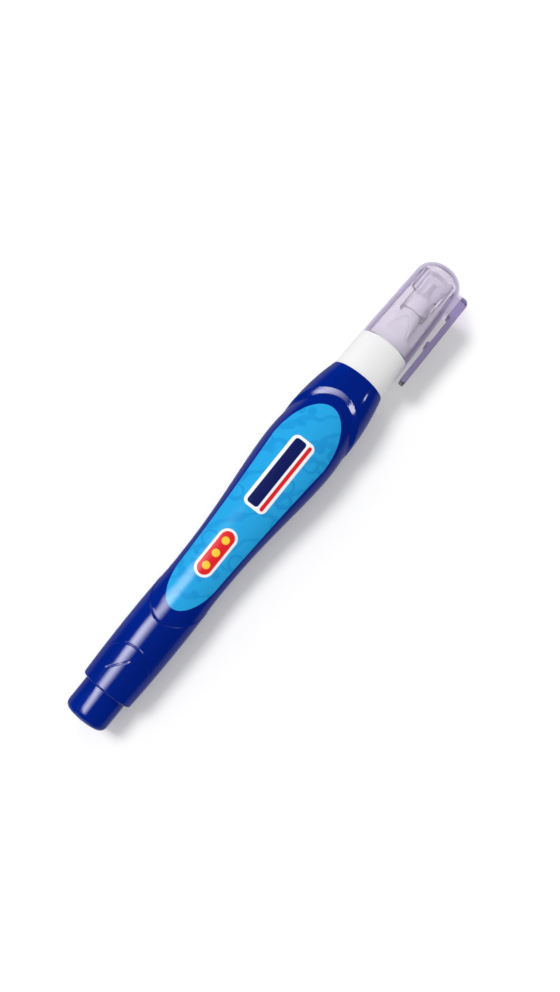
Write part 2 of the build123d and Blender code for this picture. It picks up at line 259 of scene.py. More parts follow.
def new_group(
    name: str, kind: str, inputs: dict[str, str], outputs: dict[str, str]
) -> tuple[NodeSheet, Any, Any]:
    """Make a node group with named sockets.

    Args:
        name: The group's name.
        kind: ShaderNodeTree or GeometryNodeTree.
        inputs: The inputs' names with their kinds, such as Float.
        outputs: The outputs' names with their kinds.

    Returns:
        The group's sheet, the sockets that come in and the sockets that go out.
    """
    tree = bpy.data.node_groups.new(name, kind)
    for way, sockets in (("INPUT", inputs), ("OUTPUT", outputs)):
        for socket_name, socket_kind in sockets.items():
            tree.interface.new_socket(socket_name, in_out=way, socket_type=f"NodeSocket{socket_kind}")
    sheet = NodeSheet(tree)
    return sheet, sheet.add("NodeGroupInput").outputs, sheet.add("NodeGroupOutput").inputs


def bare_material(name: str) -> tuple[Material, NodeSheet]:
    """Make a material without a Principled shader.

    Args:
        name: The material's name.

    Returns:
        The material and its sheet.
    """
    material = bpy.data.materials.new(name)
    material.use_nodes = True
    material.node_tree.nodes.remove(material.node_tree.nodes["Principled BSDF"])
    return material, NodeSheet(material.node_tree)


# Shader groups


def moulded_grain_group() -> NodeTree:
    """Build a moulded surface's fine texture: the height of tiny grain, and slow flow marks along the pen.

    Returns:
        The group.
    """
    sheet, given, result = new_group(
        "moulded_grain",
        "ShaderNodeTree",
        {"Vector": "Vector", "Grain Scale": "Float", "Flow Scale": "Float"},
        {"Height": "Float", "Mottle": "Float"},
    )
    flow_stretch, flow_edge = (0.25, 1.0, 1.0), (0.3, 0.7)
    grain = sheet.noise(given["Vector"], given["Grain Scale"], detail=3.0, Roughness=0.6)
    stretched = sheet.vector("MULTIPLY", given["Vector"], flow_stretch)
    flow = sheet.noise(stretched, given["Flow Scale"], detail=2.0)
    sheet.feed(result["Height"], grain)
    sheet.feed(result["Mottle"], sheet.ramp(flow, *flow_edge))
    return sheet.tree


def fine_scuffs_group() -> NodeTree:
    """Build a mask of hair-fine scuffs that run round the pen, as handling leaves on a glossy surface.

    Returns:
        The group.
    """
    sheet, given, result = new_group(
        "fine_scuffs",
        "ShaderNodeTree",
        {"Vector": "Vector", "Scale": "Float", "Rarity": "Float"},
        {"Mask": "Float"},
    )
    hair_stretch, hair_edge = (6.0, 0.6, 0.6), 0.08
    patch_scale, patch_edge = 90.0, (0.5, 0.7)
    stretched = sheet.vector("MULTIPLY", given["Vector"], hair_stretch)
    hairs = sheet.noise(stretched, given["Scale"], detail=4.0, Distortion=0.6)
    lines = sheet.ramp(hairs, given["Rarity"], sheet.math("ADD", given["Rarity"], hair_edge))
    patches = sheet.ramp(sheet.noise(given["Vector"], patch_scale, detail=1.0), *patch_edge)
    sheet.feed(result["Mask"], sheet.math("MULTIPLY", lines, patches))
    return sheet.tree


def round_bar_group() -> NodeTree:
    """Build the mask of one printed mark: a bar with round corners.

    Returns:
        The group.
    """
    sheet, given, result = new_group(
        "round_bar",
        "ShaderNodeTree",
        {
            "Vector": "Vector",
            "Centre": "Vector",
            "Half Size": "Vector",
            "Round": "Float",
            "Softness": "Float",
        },
        {"Mask": "Float"},
    )
    moved = sheet.vector("ABSOLUTE", sheet.vector("SUBTRACT", given["Vector"], given["Centre"]))
    past = sheet.vector("SUBTRACT", moved, given["Half Size"])
    past = sheet.vector("ADD", past, sheet.joined(given["Round"], given["Round"], -1.0))
    outside = sheet.vector("LENGTH", sheet.vector("MAXIMUM", past, (0.0, 0.0, 0.0)))
    parts = sheet.split(past)
    inside = sheet.math("MINIMUM", sheet.math("MAXIMUM", parts["X"], parts["Y"]), 0.0)
    distance = sheet.math("SUBTRACT", sheet.math("ADD", outside, inside), given["Round"])
    inner_edge = sheet.math("MULTIPLY", given["Softness"], -1.0)
    sheet.feed(result["Mask"], sheet.ramp(distance, inner_edge, given["Softness"], 1.0, 0.0))
    return sheet.tree


# Finishes


class Finish:
    """A named material with its Principled shader at hand."""

    def open(self, name: str) -> tuple[Material, NodeSheet, Node, NodeSocket]:
        """Start a material.

        Args:
            name: The material's name.

        Returns:
            The material, its sheet, its Principled node and the Object coordinates.
        """
        material = bpy.data.materials.new(name)
        material.use_nodes = True
        sheet = NodeSheet(material.node_tree)
        shader = material.node_tree.nodes["Principled BSDF"]
        place = sheet.add("ShaderNodeTexCoord").outputs["Object"]
        return material, sheet, shader, place

    def placed(self, sheet: NodeSheet, group: str, inputs: dict[str, Any]) -> Any:
        """Place a shader group in a material with its own values and return its outputs."""
        return sheet.add("ShaderNodeGroup", inputs, node_tree=bpy.data.node_groups[group]).outputs

    def bump(self, sheet: NodeSheet, shader: Node, height: Any, strength: float, depth: float) -> None:
        """Drive the shader's normal from a height."""
        bump = sheet.add("ShaderNodeBump", {"Strength": strength, "Distance": depth, "Height": height})
        sheet.feed(shader.inputs["Normal"], bump.outputs["Normal"])


@dataclass(frozen=True)
class WornFinish(Finish):
    """A finish with fine grain, slow flow marks and faint scuffs."""

    roughness: float
    grain_depth: float
    grain_scale: float = 9000.0
    grain_strength: float = 0.25
    flow_scale: float = 160.0
    flow_roughness: float = 0.03
    scuff_scale: float = 420.0
    scuff_rarity: float = 0.62
    scuff_roughness: float = 0.12
    ior: float = 1.5

    def wear(self, sheet: NodeSheet, shader: Node, place: Any) -> NodeSocket:
        """Set the shader's gloss and grain.

        Args:
            sheet: The material's sheet.
            shader: Its Principled node.
            place: Its Object coordinates.

        Returns:
            The mask of the flow marks.
        """
        scales = {"Grain Scale": self.grain_scale, "Flow Scale": self.flow_scale}
        grain = self.placed(sheet, "moulded_grain", {"Vector": place, **scales})
        hairs = {"Scale": self.scuff_scale, "Rarity": self.scuff_rarity}
        scuffs = self.placed(sheet, "fine_scuffs", {"Vector": place, **hairs})
        worn = sheet.math("MULTIPLY_ADD", scuffs["Mask"], self.scuff_roughness, self.roughness)
        rough = sheet.math("MULTIPLY_ADD", grain["Mottle"], self.flow_roughness, worn)
        sheet.feed(shader.inputs["Roughness"], rough)
        shader.inputs["IOR"].default_value = self.ior
        self.bump(sheet, shader, grain["Height"], self.grain_strength, self.grain_depth)
        return grain["Mottle"]


@dataclass(frozen=True, kw_only=True)
class MouldedPlastic(WornFinish):
    """Opaque moulded plastic."""

    colour: Colour
    deep_colour: Colour
    subsurface: float = 0.0
    subsurface_depth: float = 1.2 * MM

    def build(self, name: str) -> Material:
        """Build the finish.

        Args:
            name: The material's name.

        Returns:
            The material.
        """
        material, sheet, shader, place = self.open(name)
        flow = self.wear(sheet, shader, place)
        sheet.feed(shader.inputs["Base Color"], sheet.blend(flow, self.colour, self.deep_colour))
        if self.subsurface:
            shader.inputs["Subsurface Weight"].default_value = self.subsurface
            shader.inputs["Subsurface Radius"].default_value = (1.0, 1.0, 1.0)
            shader.inputs["Subsurface Scale"].default_value = self.subsurface_depth
        return material


@dataclass(frozen=True)
class ClearPlastic(Finish):
    """Clear moulded plastic whose tint grows with the length of plastic that light crosses.

    Lamps pass the wall that faces them freely, so that the inside is lit, and are mostly stopped by the far
    wall above its underside, so that the floor is shaded; the dome at the cap's end gathers their light on
    the floor again. At its edges the outer skin is seen straight through, so that they show the tint.
    """

    axis_height: float
    tint: Colour
    density: float
    roughness: float
    haze: float
    ior: float = 1.49
    body_colour: Colour = (1.0, 0.99, 1.0, 1.0)
    clip_painted_shade: Colour | None = None
    clip_side: float = -6.9 * MM
    lamp_way: Corner = (0.0, math.sin(SUN_LEAN), math.cos(SUN_LEAN))
    near_shadow: Colour = (1.0, 0.995, 1.0, 1.0)
    far_shadow: Colour = (0.1, 0.098, 0.102, 1.0)
    under_shadow: Colour = (0.94, 0.935, 0.945, 1.0)
    dome_lit: Point = (60.2 * MM, 62.2 * MM)
    flank: Point = (3.2 * MM, 4.8 * MM)
    edge: Point = (0.36, 0.46)
    edge_share: float = 0.92
    skin_radius: float = 5.7 * MM
    dome_base: float = 62.95 * MM
    dome_stretch: float = 1.325
    grain_scale: float = 2500.0
    flow_scale: float = 240.0
    flow_roughness: float = 0.02
    flow_strength: float = 0.06
    flow_depth: float = 0.04 * MM

    def dress(self, sheet: NodeSheet, shader: Node, place: Any, on_clip: Any) -> None:
        """Set the plastic's own shader: colour with painted shade on the clip, gloss, haze and slow flow
        marks.

        Args:
            sheet: The material's sheet.
            shader: Its Principled node.
            place: Its Object coordinates.
            on_clip: The mask of the clip.
        """
        scales = {"Grain Scale": self.grain_scale, "Flow Scale": self.flow_scale}
        flow = self.placed(sheet, "moulded_grain", {"Vector": place, **scales})["Mottle"]
        shader.inputs["Base Color"].default_value = self.body_colour
        # painted shade: the clip's base colour is darker, for the dark look its thick body gets from
        # refraction
        if self.clip_painted_shade:
            sheet.feed(shader.inputs["Base Color"], sheet.blend(on_clip, self.body_colour, self.clip_painted_shade))
        shader.inputs["Transmission Weight"].default_value = 1.0 - self.haze
        shader.inputs["IOR"].default_value = self.ior
        rough = sheet.math("MULTIPLY_ADD", flow, self.flow_roughness, self.roughness)
        sheet.feed(shader.inputs["Roughness"], rough)
        self.bump(sheet, shader, flow, self.flow_strength, self.flow_depth)

    def shadow(self, sheet: NodeSheet, place: Any, spot: Any) -> NodeSocket:
        """Work out in which colour lamps pass: dimly on the far flank, and all but freely elsewhere.

        Args:
            sheet: The material's sheet.
            place: Its Object coordinates.
            spot: Their X, Y and Z.

        Returns:
            The colour.
        """
        along = sheet.vector("DOT_PRODUCT", place, self.lamp_way)
        near = sheet.math("GREATER_THAN", along, self.axis_height * self.lamp_way[2])
        on_dome = sheet.ramp(spot["X"], *self.dome_lit)
        far = sheet.blend(sheet.ramp(spot["Z"], *self.flank), self.under_shadow, self.far_shadow)
        return sheet.blend(sheet.math("MAXIMUM", near, on_dome), far, self.near_shadow)

    def straight(self, sheet: NodeSheet, spot: Any, on_clip: Any) -> NodeSocket:
        """Work out how far the outer skin is seen straight through: at its edges, off the clip.

        Args:
            sheet: The material's sheet.
            spot: The X, Y and Z of the Object coordinates.
            on_clip: The mask of the clip.

        Returns:
            The share.
        """
        facing = sheet.add("ShaderNodeLayerWeight").outputs["Facing"]
        grazing = sheet.ramp(facing, *self.edge, 0.0, self.edge_share)
        past_base = sheet.math("MAXIMUM", sheet.math("SUBTRACT", spot["X"], self.dome_base), 0.0)
        ahead = sheet.math("MULTIPLY", past_base, self.dome_stretch)
        rise = sheet.math("SUBTRACT", spot["Z"], self.axis_height)
        reach = sheet.vector("LENGTH", sheet.joined(ahead, spot["Y"], rise))
        on_skin = sheet.math("GREATER_THAN", reach, self.skin_radius)
        off_clip = sheet.math("SUBTRACT", 1.0, on_clip)
        return sheet.math("MULTIPLY", grazing, sheet.math("MULTIPLY", on_skin, off_clip))

    def build(self, name: str) -> Material:
        """Build the finish.

        Args:
            name: The material's name.

        Returns:
            The material.
        """
        material, sheet, shader, place = self.open(name)
        spot = sheet.split(place)
        on_clip = sheet.math("LESS_THAN", spot["Y"], self.clip_side)
        self.dress(sheet, shader, place, on_clip)
        clear = sheet.add("ShaderNodeBsdfTransparent").outputs["BSDF"]
        seen = sheet.mixed(self.straight(sheet, spot, on_clip), shader.outputs["BSDF"], clear)
        shadow = self.shadow(sheet, place, spot)
        passing = sheet.add("ShaderNodeBsdfTransparent", {"Color": shadow}).outputs["BSDF"]
        to_lamp = sheet.add("ShaderNodeLightPath").outputs["Is Shadow Ray"]
        absorb = sheet.add("ShaderNodeVolumeAbsorption", {"Color": self.tint, "Density": self.density})
        output = sheet.tree.nodes["Material Output"]
        sheet.feed(output.inputs["Surface"], sheet.mixed(to_lamp, seen, passing))
        sheet.feed(output.inputs["Volume"], absorb.outputs["Volume"])
        return material


@dataclass(frozen=True)
class BrightSteel(Finish):
    """Drawn or turned steel with fine rings across the pen's axis."""

    colour: Colour
    roughness: float
    metallic: float
    ring_stretch: Corner = (9000.0, 40.0, 40.0)
    ring_roughness: float = 0.14
    ring_strength: float = 0.2
    ring_depth: float = 0.01 * MM
    scuff_scale: float = 600.0
    scuff_rarity: float = 0.56
    scuff_roughness: float = 0.2

    def build(self, name: str) -> Material:
        """Build the finish.

        Args:
            name: The material's name.

        Returns:
            The material.
        """
        material, sheet, shader, place = self.open(name)
        rings = sheet.noise(sheet.vector("MULTIPLY", place, self.ring_stretch), scale=1.0, detail=2.0)
        hairs = {"Scale": self.scuff_scale, "Rarity": self.scuff_rarity}
        scuffs = self.placed(sheet, "fine_scuffs", {"Vector": place, **hairs})
        shader.inputs["Base Color"].default_value = self.colour
        shader.inputs["Metallic"].default_value = self.metallic
        rough = sheet.math("MULTIPLY_ADD", rings, self.ring_roughness, self.roughness)
        worn = sheet.math("MULTIPLY_ADD", scuffs["Mask"], self.scuff_roughness, rough)
        sheet.feed(shader.inputs["Roughness"], worn)
        self.bump(sheet, shader, rings, self.ring_strength, self.ring_depth)
        return material


@dataclass(frozen=True)
class PrintMark:
    """One printed bar or dot on the label, in shares of the label's length."""

    centre: Point
    half_size: Point
    colour: Colour
    round_share: float = 1.0


@dataclass(frozen=True, kw_only=True)
class PrintedFilm(WornFinish):
    """Satin film with a soft tone-on-tone weave of arcs and a few plain printed bars and dots."""

    ground: Colour
    shade: Colour
    marks: tuple[PrintMark, ...]
    softness: float = 0.0016
    motif_share: float = 0.55
    cell_scale: float = 11.0
    cell_randomness: float = 0.75
    ring_radius: float = 0.34
    ring_edge: Point = (0.03, 0.075)
    wave_scale: float = 5.0
    wave_distortion: float = 5.0
    wave_edge: Point = (0.82, 0.95)
    wave_share: float = 0.8

    def motif(self, sheet: NodeSheet, flat: Any) -> NodeSocket:
        """Build the weave of rings and wandering lines.

        Args:
            sheet: The material's sheet.
            flat: The label's flat coordinates.

        Returns:
            Its mask.
        """
        cell_values = {"Vector": flat, "Scale": self.cell_scale, "Randomness": self.cell_randomness}
        cells = sheet.add("ShaderNodeTexVoronoi", cell_values, feature="F1")
        ring = sheet.math("ABSOLUTE", sheet.math("SUBTRACT", cells.outputs["Distance"], self.ring_radius))
        wave_values = {"Vector": flat, "Scale": self.wave_scale, "Distortion": self.wave_distortion}
        wave_detail = {"Detail": 1.0, "Detail Scale": 2.0}
        waves = sheet.add("ShaderNodeTexWave", wave_values | wave_detail, bands_direction="DIAGONAL")
        lines = sheet.ramp(waves.outputs["Fac"], *self.wave_edge, 0.0, self.wave_share)
        return sheet.math("MAXIMUM", sheet.ramp(ring, *self.ring_edge, 1.0, 0.0), lines)

    def build(self, name: str) -> Material:
        """Build the finish.

        Args:
            name: The material's name.

        Returns:
            The material.
        """
        material, sheet, shader, place = self.open(name)
        flat = sheet.add("ShaderNodeUVMap", uv_map="print").outputs["UV"]
        weave = sheet.math("MULTIPLY", self.motif(sheet, flat), self.motif_share)
        colour = sheet.blend(weave, self.ground, self.shade)
        for mark in self.marks:
            values = {
                "Vector": flat,
                "Centre": (*mark.centre, 0.0),
                "Half Size": (*mark.half_size, 1.0),
                "Round": mark.round_share * min(mark.half_size),
                "Softness": self.softness,
            }
            shape = self.placed(sheet, "round_bar", values)
            colour = sheet.blend(shape["Mask"], colour, mark.colour)
        sheet.feed(shader.inputs["Base Color"], colour)
        self.wear(sheet, shader, place)
        return material


def label_print() -> PrintedFilm:
    """Set out the label's finish: light blue film with plain bars and dots.

    Returns:
        The finish.
    """
    white, navy = srgb(246, 248, 252), srgb(18, 28, 92)
    red, yellow = srgb(226, 34, 40), srgb(250, 206, 60)
    marks = [
        PrintMark((0.66, 0.0), (0.17, 0.052), white, 0.5),
        PrintMark((0.66, 0.012), (0.158, 0.026), navy, 0.5),
        PrintMark((0.66, -0.032), (0.158, 0.008), red),
        PrintMark((0.27, 0.0), (0.11, 0.04), white),
        PrintMark((0.27, 0.0), (0.1, 0.03), red),
    ]
    marks += [PrintMark((0.21 + 0.06 * step, 0.0), (0.016, 0.016), yellow) for step in range(3)]
    return PrintedFilm(
        roughness=0.12,
        grain_depth=0.01 * MM,
        grain_scale=5000.0,
        grain_strength=0.15,
        flow_scale=120.0,
        flow_roughness=0.05,
        scuff_scale=380.0,
        scuff_rarity=0.64,
        scuff_roughness=0.15,
        ior=1.48,
        ground=srgb(38, 167, 230),
        shade=srgb(20, 140, 212),
        marks=tuple(marks),
    )


# Mesh tools


def round_corners(corners: list[Corner], closed: bool) -> list[Point]:
    """Return an outline with its corners rounded.

    Args:
        corners: Points, each with the radius of its corner.
        closed: Whether the outline runs back to its first point.

    Returns:
        The points of the rounded outline, without a repeated last point.
    """
    outline: list[Point] = []
    count = len(corners)
    for index, (along, across, radius) in enumerate(corners):
        here = np.array((along, across))
        if radius == 0 or (not closed and index in (0, count - 1)):
            outline.append((along, across))
            continue
        back = np.array(corners[index - 1][:2]) - here
        ahead = np.array(corners[(index + 1) % count][:2]) - here
        back, ahead = back / np.linalg.norm(back), ahead / np.linalg.norm(ahead)
        half = math.acos(max(-1.0, min(1.0, float(back @ ahead)))) / 2
        middle = (back + ahead) / np.linalg.norm(back + ahead)
        centre = here + middle * radius / math.sin(half)
        start = here + back * radius / math.tan(half) - centre
        end = here + ahead * radius / math.tan(half) - centre
        sweep = math.atan2(start[0] * end[1] - start[1] * end[0], float(start @ end))
        for step in range(ARC_STEPS + 1):
            angle = sweep * step / ARC_STEPS
            turn = np.array(((math.cos(angle), -math.sin(angle)), (math.sin(angle), math.cos(angle))))
            outline.append(tuple(float(value) for value in centre + turn @ start))
    return outline


@contextmanager
def edited(mesh: Mesh) -> Iterator[bmesh.types.BMesh]:
    """Open a mesh for editing and write it back.

    Args:
        mesh: The mesh, which is changed.

    Yields:
        The mesh in its editable form.
    """
    work = bmesh.new()
    work.from_mesh(mesh)
    yield work
    work.to_mesh(mesh)
    work.free()


def dressed(mesh: Mesh, sharp_angle: float = SHARP_ANGLE) -> Mesh:
    """Merge a mesh's doubles, point its faces outwards and shade it smooth up to sharp edges.

    Args:
        mesh: The mesh, which is changed.
        sharp_angle: The angle from which an edge is sharp.

    Returns:
        The same mesh.
    """
    with edited(mesh) as work:
        bmesh.ops.remove_doubles(work, verts=work.verts, dist=MERGE_DISTANCE)
        bmesh.ops.dissolve_degenerate(work, edges=work.edges, dist=MERGE_DISTANCE)
        bmesh.ops.recalc_face_normals(work, faces=work.faces)
        for face in work.faces:
            face.smooth = True
    mesh.set_sharp_from_angle(angle=sharp_angle)
    return mesh


def new_object(name: str, mesh: Mesh) -> Object:
    """Put a mesh in the scene under a name.

    Args:
        name: The object's name.
        mesh: Its mesh.

    Returns:
        The object.
    """
    piece = bpy.data.objects.new(name, mesh)
    bpy.context.scene.collection.objects.link(piece)
    return piece


def frozen(piece: Object) -> Mesh:
    """Make a plain mesh of an object with its modifiers, and take the object away.

    Args:
        piece: The object.

    Returns:
        The mesh.
    """
    bpy.context.view_layer.update()
    depsgraph = bpy.context.evaluated_depsgraph_get()
    mesh = bpy.data.meshes.new_from_object(piece.evaluated_get(depsgraph))
    bpy.data.objects.remove(piece)
    return mesh


def grown(tree: NodeTree, base: Mesh, values: dict[str, Any]) -> Mesh:
    """Run a geometry tree on a mesh.

    Args:
        tree: The geometry node tree.
        base: The mesh that goes in.
        values: The tree's other inputs by name.

    Returns:
        The mesh that comes out.
    """
    piece = new_object(base.name, base)
    modifier = piece.modifiers.new(tree.name, "NODES")
    modifier.node_group = tree
    for socket in tree.interface.items_tree:
        if socket.in_out == "INPUT" and socket.name in values:
            modifier[socket.identifier] = values[socket.name]
    return frozen(piece)


def shaped(target: Mesh, tool: Mesh, cut: Cut) -> Mesh:
    """Join a tool to a target mesh, or take it away.

    Args:
        target: The mesh to change.
        tool: The mesh that acts on it.
        cut: How it acts.

    Returns:
        The result.
    """
    piece, other = new_object("target", target), new_object("tool", tool)
    modifier = piece.modifiers.new("shape", "BOOLEAN")
    modifier.object = other
    modifier.operation = cut.value
    modifier.solver = "EXACT"
    mesh = frozen(piece)
    bpy.data.objects.remove(other)
    return mesh


def outline_mesh(name: str, outline: list[Point], closed: bool) -> Mesh:
    """Make a mesh of points and edges, with the station along X and the radius along Z.

    Args:
        name: The mesh's name.
        outline: Stations and radii.
        closed: Whether the outline runs back to its first point.

    Returns:
        The mesh.
    """
    mesh = bpy.data.meshes.new(name)
    points = [(along, 0.0, across) for along, across in outline]
    if closed:
        points.append(points[0])
    mesh.from_pydata(points, [(index, index + 1) for index in range(len(points) - 1)], [])
    return mesh


def spaced(low: np.ndarray, high: np.ndarray, count: int) -> list[np.ndarray]:
    """Return evenly spaced values from low to high, both ends among them."""
    return [low + (high - low) * step / count for step in range(count + 1)]


def prism(name: str, outline: list[Point], half_width: float, height: float) -> Mesh:
    """Make a solid from an outline in X and Y.

    Args:
        name: The mesh's name.
        outline: The outline's points.
        half_width: How far the solid reaches up and down.
        height: The height of its middle.

    Returns:
        The mesh.
    """
    work = bmesh.new()
    rings = []
    for level in (height - half_width, height + half_width):
        rings.append([work.verts.new((along, across, level)) for along, across in outline])
    work.faces.new(rings[0])
    work.faces.new(rings[1])
    count = len(outline)
    for index in range(count):
        after = (index + 1) % count
        work.faces.new((rings[0][index], rings[0][after], rings[1][after], rings[1][index]))
    bmesh.ops.recalc_face_normals(work, faces=work.faces)
    mesh = bpy.data.meshes.new(name)
    work.to_mesh(mesh)
    work.free()
    return mesh


def lattice(name: str, points: np.ndarray, around: bool) -> Mesh:
    """Return a mesh of quads over a grid of points.

    Args:
        name: The mesh's name.
        points: Points by row, column and coordinate.
        around: Whether the grid closes on itself both ways, as a hollow body does.

    Returns:
        The mesh.
    """
    rows, columns = points.shape[:2]
    index = np.arange(rows * columns).reshape(rows, columns)
    if around:
        index = np.pad(index, ((0, 1), (0, 1)), mode="wrap")
    corners = (index[:-1, :-1], index[:-1, 1:], index[1:, 1:], index[1:, :-1])
    quads = np.stack(corners, axis=-1).reshape(-1, 4)
    mesh = bpy.data.meshes.new(name)
    mesh.from_pydata(points.reshape(-1, 3).tolist(), [], quads.tolist())
    return mesh


# Geometry node trees


def ended_tree(sheet: NodeSheet, given: Any, result: Any, shape: NodeSocket) -> NodeTree:
    """End a geometry tree: make its instances real and set its finish.

    Args:
        sheet: The tree's sheet.
        given: The sockets that come in.
        result: The sockets that go out.
        shape: What the tree has made.

    Returns:
        The tree.
    """
    real = sheet.add("GeometryNodeRealizeInstances", {"Geometry": shape}).outputs["Geometry"]
    finished = sheet.add("GeometryNodeSetMaterial", {"Geometry": real, "Material": given["Finish"]})
    sheet.feed(result["Geometry"], finished.outputs["Geometry"])
    return sheet.tree


def turned_form_tree() -> NodeTree:
    """Build the tree that turns an outline about the pen's axis.

    Returns:
        The tree.
    """
    sheet, given, result = new_group(
        "turned_form",
        "GeometryNodeTree",
        {"Outline": "Geometry", "Steps": "Int", "Axis Height": "Float", "Finish": "Material"},
        {"Geometry": "Geometry"},
    )
    size = sheet.add("GeometryNodeAttributeDomainSize", {"Geometry": given["Outline"]}, component="MESH")
    columns = sheet.math("ADD", given["Steps"], 1.0)
    counts = {"Vertices X": size.outputs["Point Count"], "Vertices Y": columns}
    grid = sheet.add("GeometryNodeMeshGrid", counts).outputs["Mesh"]
    index = sheet.add("GeometryNodeInputIndex").outputs["Index"]
    row = sheet.math("FLOOR", sheet.math("DIVIDE", index, columns))
    column = sheet.math("SUBTRACT", index, sheet.math("MULTIPLY", row, columns))
    angle = sheet.math("DIVIDE", sheet.math("MULTIPLY", column, math.tau), given["Steps"])
    place = sheet.add("GeometryNodeInputPosition").outputs["Position"]
    sample = sheet.add("GeometryNodeSampleIndex", data_type="FLOAT_VECTOR", domain="POINT")
    sheet.feed(sample.inputs["Geometry"], given["Outline"])
    sheet.feed(next(socket for socket in sample.inputs if socket.name == "Value" and socket.enabled), place)
    sheet.feed(sample.inputs["Index"], row)
    parts = sheet.split(next(socket for socket in sample.outputs if socket.enabled))
    side = sheet.math("MULTIPLY", parts["Z"], sheet.math("SINE", angle))
    rise = sheet.math("MULTIPLY", parts["Z"], sheet.math("COSINE", angle))
    spot = sheet.joined(parts["X"], side, sheet.math("ADD", rise, given["Axis Height"]))
    placed = sheet.add("GeometryNodeSetPosition", {"Geometry": grid, "Position": spot}).outputs["Geometry"]
    merged = sheet.add("GeometryNodeMergeByDistance", {"Geometry": placed, "Distance": MERGE_DISTANCE})
    return ended_tree(sheet, given, result, merged.outputs["Geometry"])


def fin_ring_tree() -> NodeTree:
    """Build the tree that sets fins evenly round the pen's axis.

    Returns:
        The tree.
    """
    sheet, given, result = new_group(
        "fin_ring",
        "GeometryNodeTree",
        {
            "Geometry": "Geometry",
            "Count": "Int",
            "Fin Size": "Vector",
            "Centre": "Vector",
            "Reach": "Float",
            "First Angle": "Float",
            "Finish": "Material",
        },
        {"Geometry": "Geometry"},
    )
    fin = sheet.add("GeometryNodeMeshCube", {"Size": given["Fin Size"]}).outputs["Mesh"]
    spots = sheet.add("GeometryNodeMeshLine", {"Count": given["Count"], "Offset": (0.0, 0.0, 0.0)})
    index = sheet.add("GeometryNodeInputIndex").outputs["Index"]
    step = sheet.math("DIVIDE", math.tau, given["Count"])
    angle = sheet.math("MULTIPLY_ADD", index, step, given["First Angle"])
    side = sheet.math("MULTIPLY", sheet.math("COSINE", angle), given["Reach"])
    rise = sheet.math("MULTIPLY", sheet.math("SINE", angle), given["Reach"])
    spot = sheet.vector("ADD", sheet.joined(y=side, z=rise), given["Centre"])
    placed = sheet.add("GeometryNodeSetPosition", {"Geometry": spots.outputs["Mesh"], "Position": spot})
    ring = sheet.add(
        "GeometryNodeInstanceOnPoints",
        {"Points": placed.outputs["Geometry"], "Instance": fin, "Rotation": sheet.joined(x=angle)},
    )
    return ended_tree(sheet, given, result, ring.outputs["Instances"])


def wire_coil_tree() -> NodeTree:
    """Build the tree that winds a wire into an open coil along the pen's axis.

    Returns:
        The tree.
    """
    sheet, given, result = new_group(
        "wire_coil",
        "GeometryNodeTree",
        {
            "Geometry": "Geometry",
            "Turns": "Float",
            "Coil Radius": "Float",
            "Rise": "Float",
            "Wire Radius": "Float",
            "Start": "Vector",
            "Finish": "Material",
        },
        {"Geometry": "Geometry"},
    )
    steps_per_turn, wire_sides, lying = 48, 16, (0.0, math.pi / 2, 0.0)
    spiral = sheet.add(
        "GeometryNodeCurveSpiral",
        {
            "Resolution": steps_per_turn,
            "Rotations": given["Turns"],
            "Start Radius": given["Coil Radius"],
            "End Radius": given["Coil Radius"],
            "Height": given["Rise"],
        },
    )
    laid = sheet.add(
        "GeometryNodeTransform",
        {"Geometry": spiral.outputs["Curve"], "Translation": given["Start"], "Rotation": lying},
    )
    ring_values = {"Resolution": wire_sides, "Radius": given["Wire Radius"]}
    ring = sheet.add("GeometryNodeCurvePrimitiveCircle", ring_values).outputs["Curve"]
    wire = sheet.add(
        "GeometryNodeCurveToMesh",
        {"Curve": laid.outputs["Geometry"], "Profile Curve": ring, "Fill Caps": True},
    )
    return ended_tree(sheet, given, result, wire.outputs["Mesh"])


# Sub-assemblies


@dataclass
class PenFrame:
    """Places along the pen, read from the frame's boxes."""

    tail: float = field(init=False)
    axis_height: float = field(init=False)
    barrel_rear: float = field(init=False)
    mouth: float = field(init=False)
    neck_end: float = field(init=False)
    nose_end: float = field(init=False)
    tip_end: float = field(init=False)
    apex: float = field(init=False)

    def __post_init__(self) -> None:
        """Read the boxes."""
        plug_low, plug_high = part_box("tail_plug")
        barrel_low, barrel_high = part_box("barrel")
        collar_low, collar_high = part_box("collar")
        self.tail = plug_low.x
        self.axis_height = (plug_low.z + plug_high.z) / 2
        self.barrel_rear, self.neck_end = barrel_low.x, barrel_high.x
        self.mouth, self.nose_end = collar_low.x, collar_high.x
        self.tip_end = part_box("metal_tip")[1].x
        self.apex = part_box("cap")[1].x


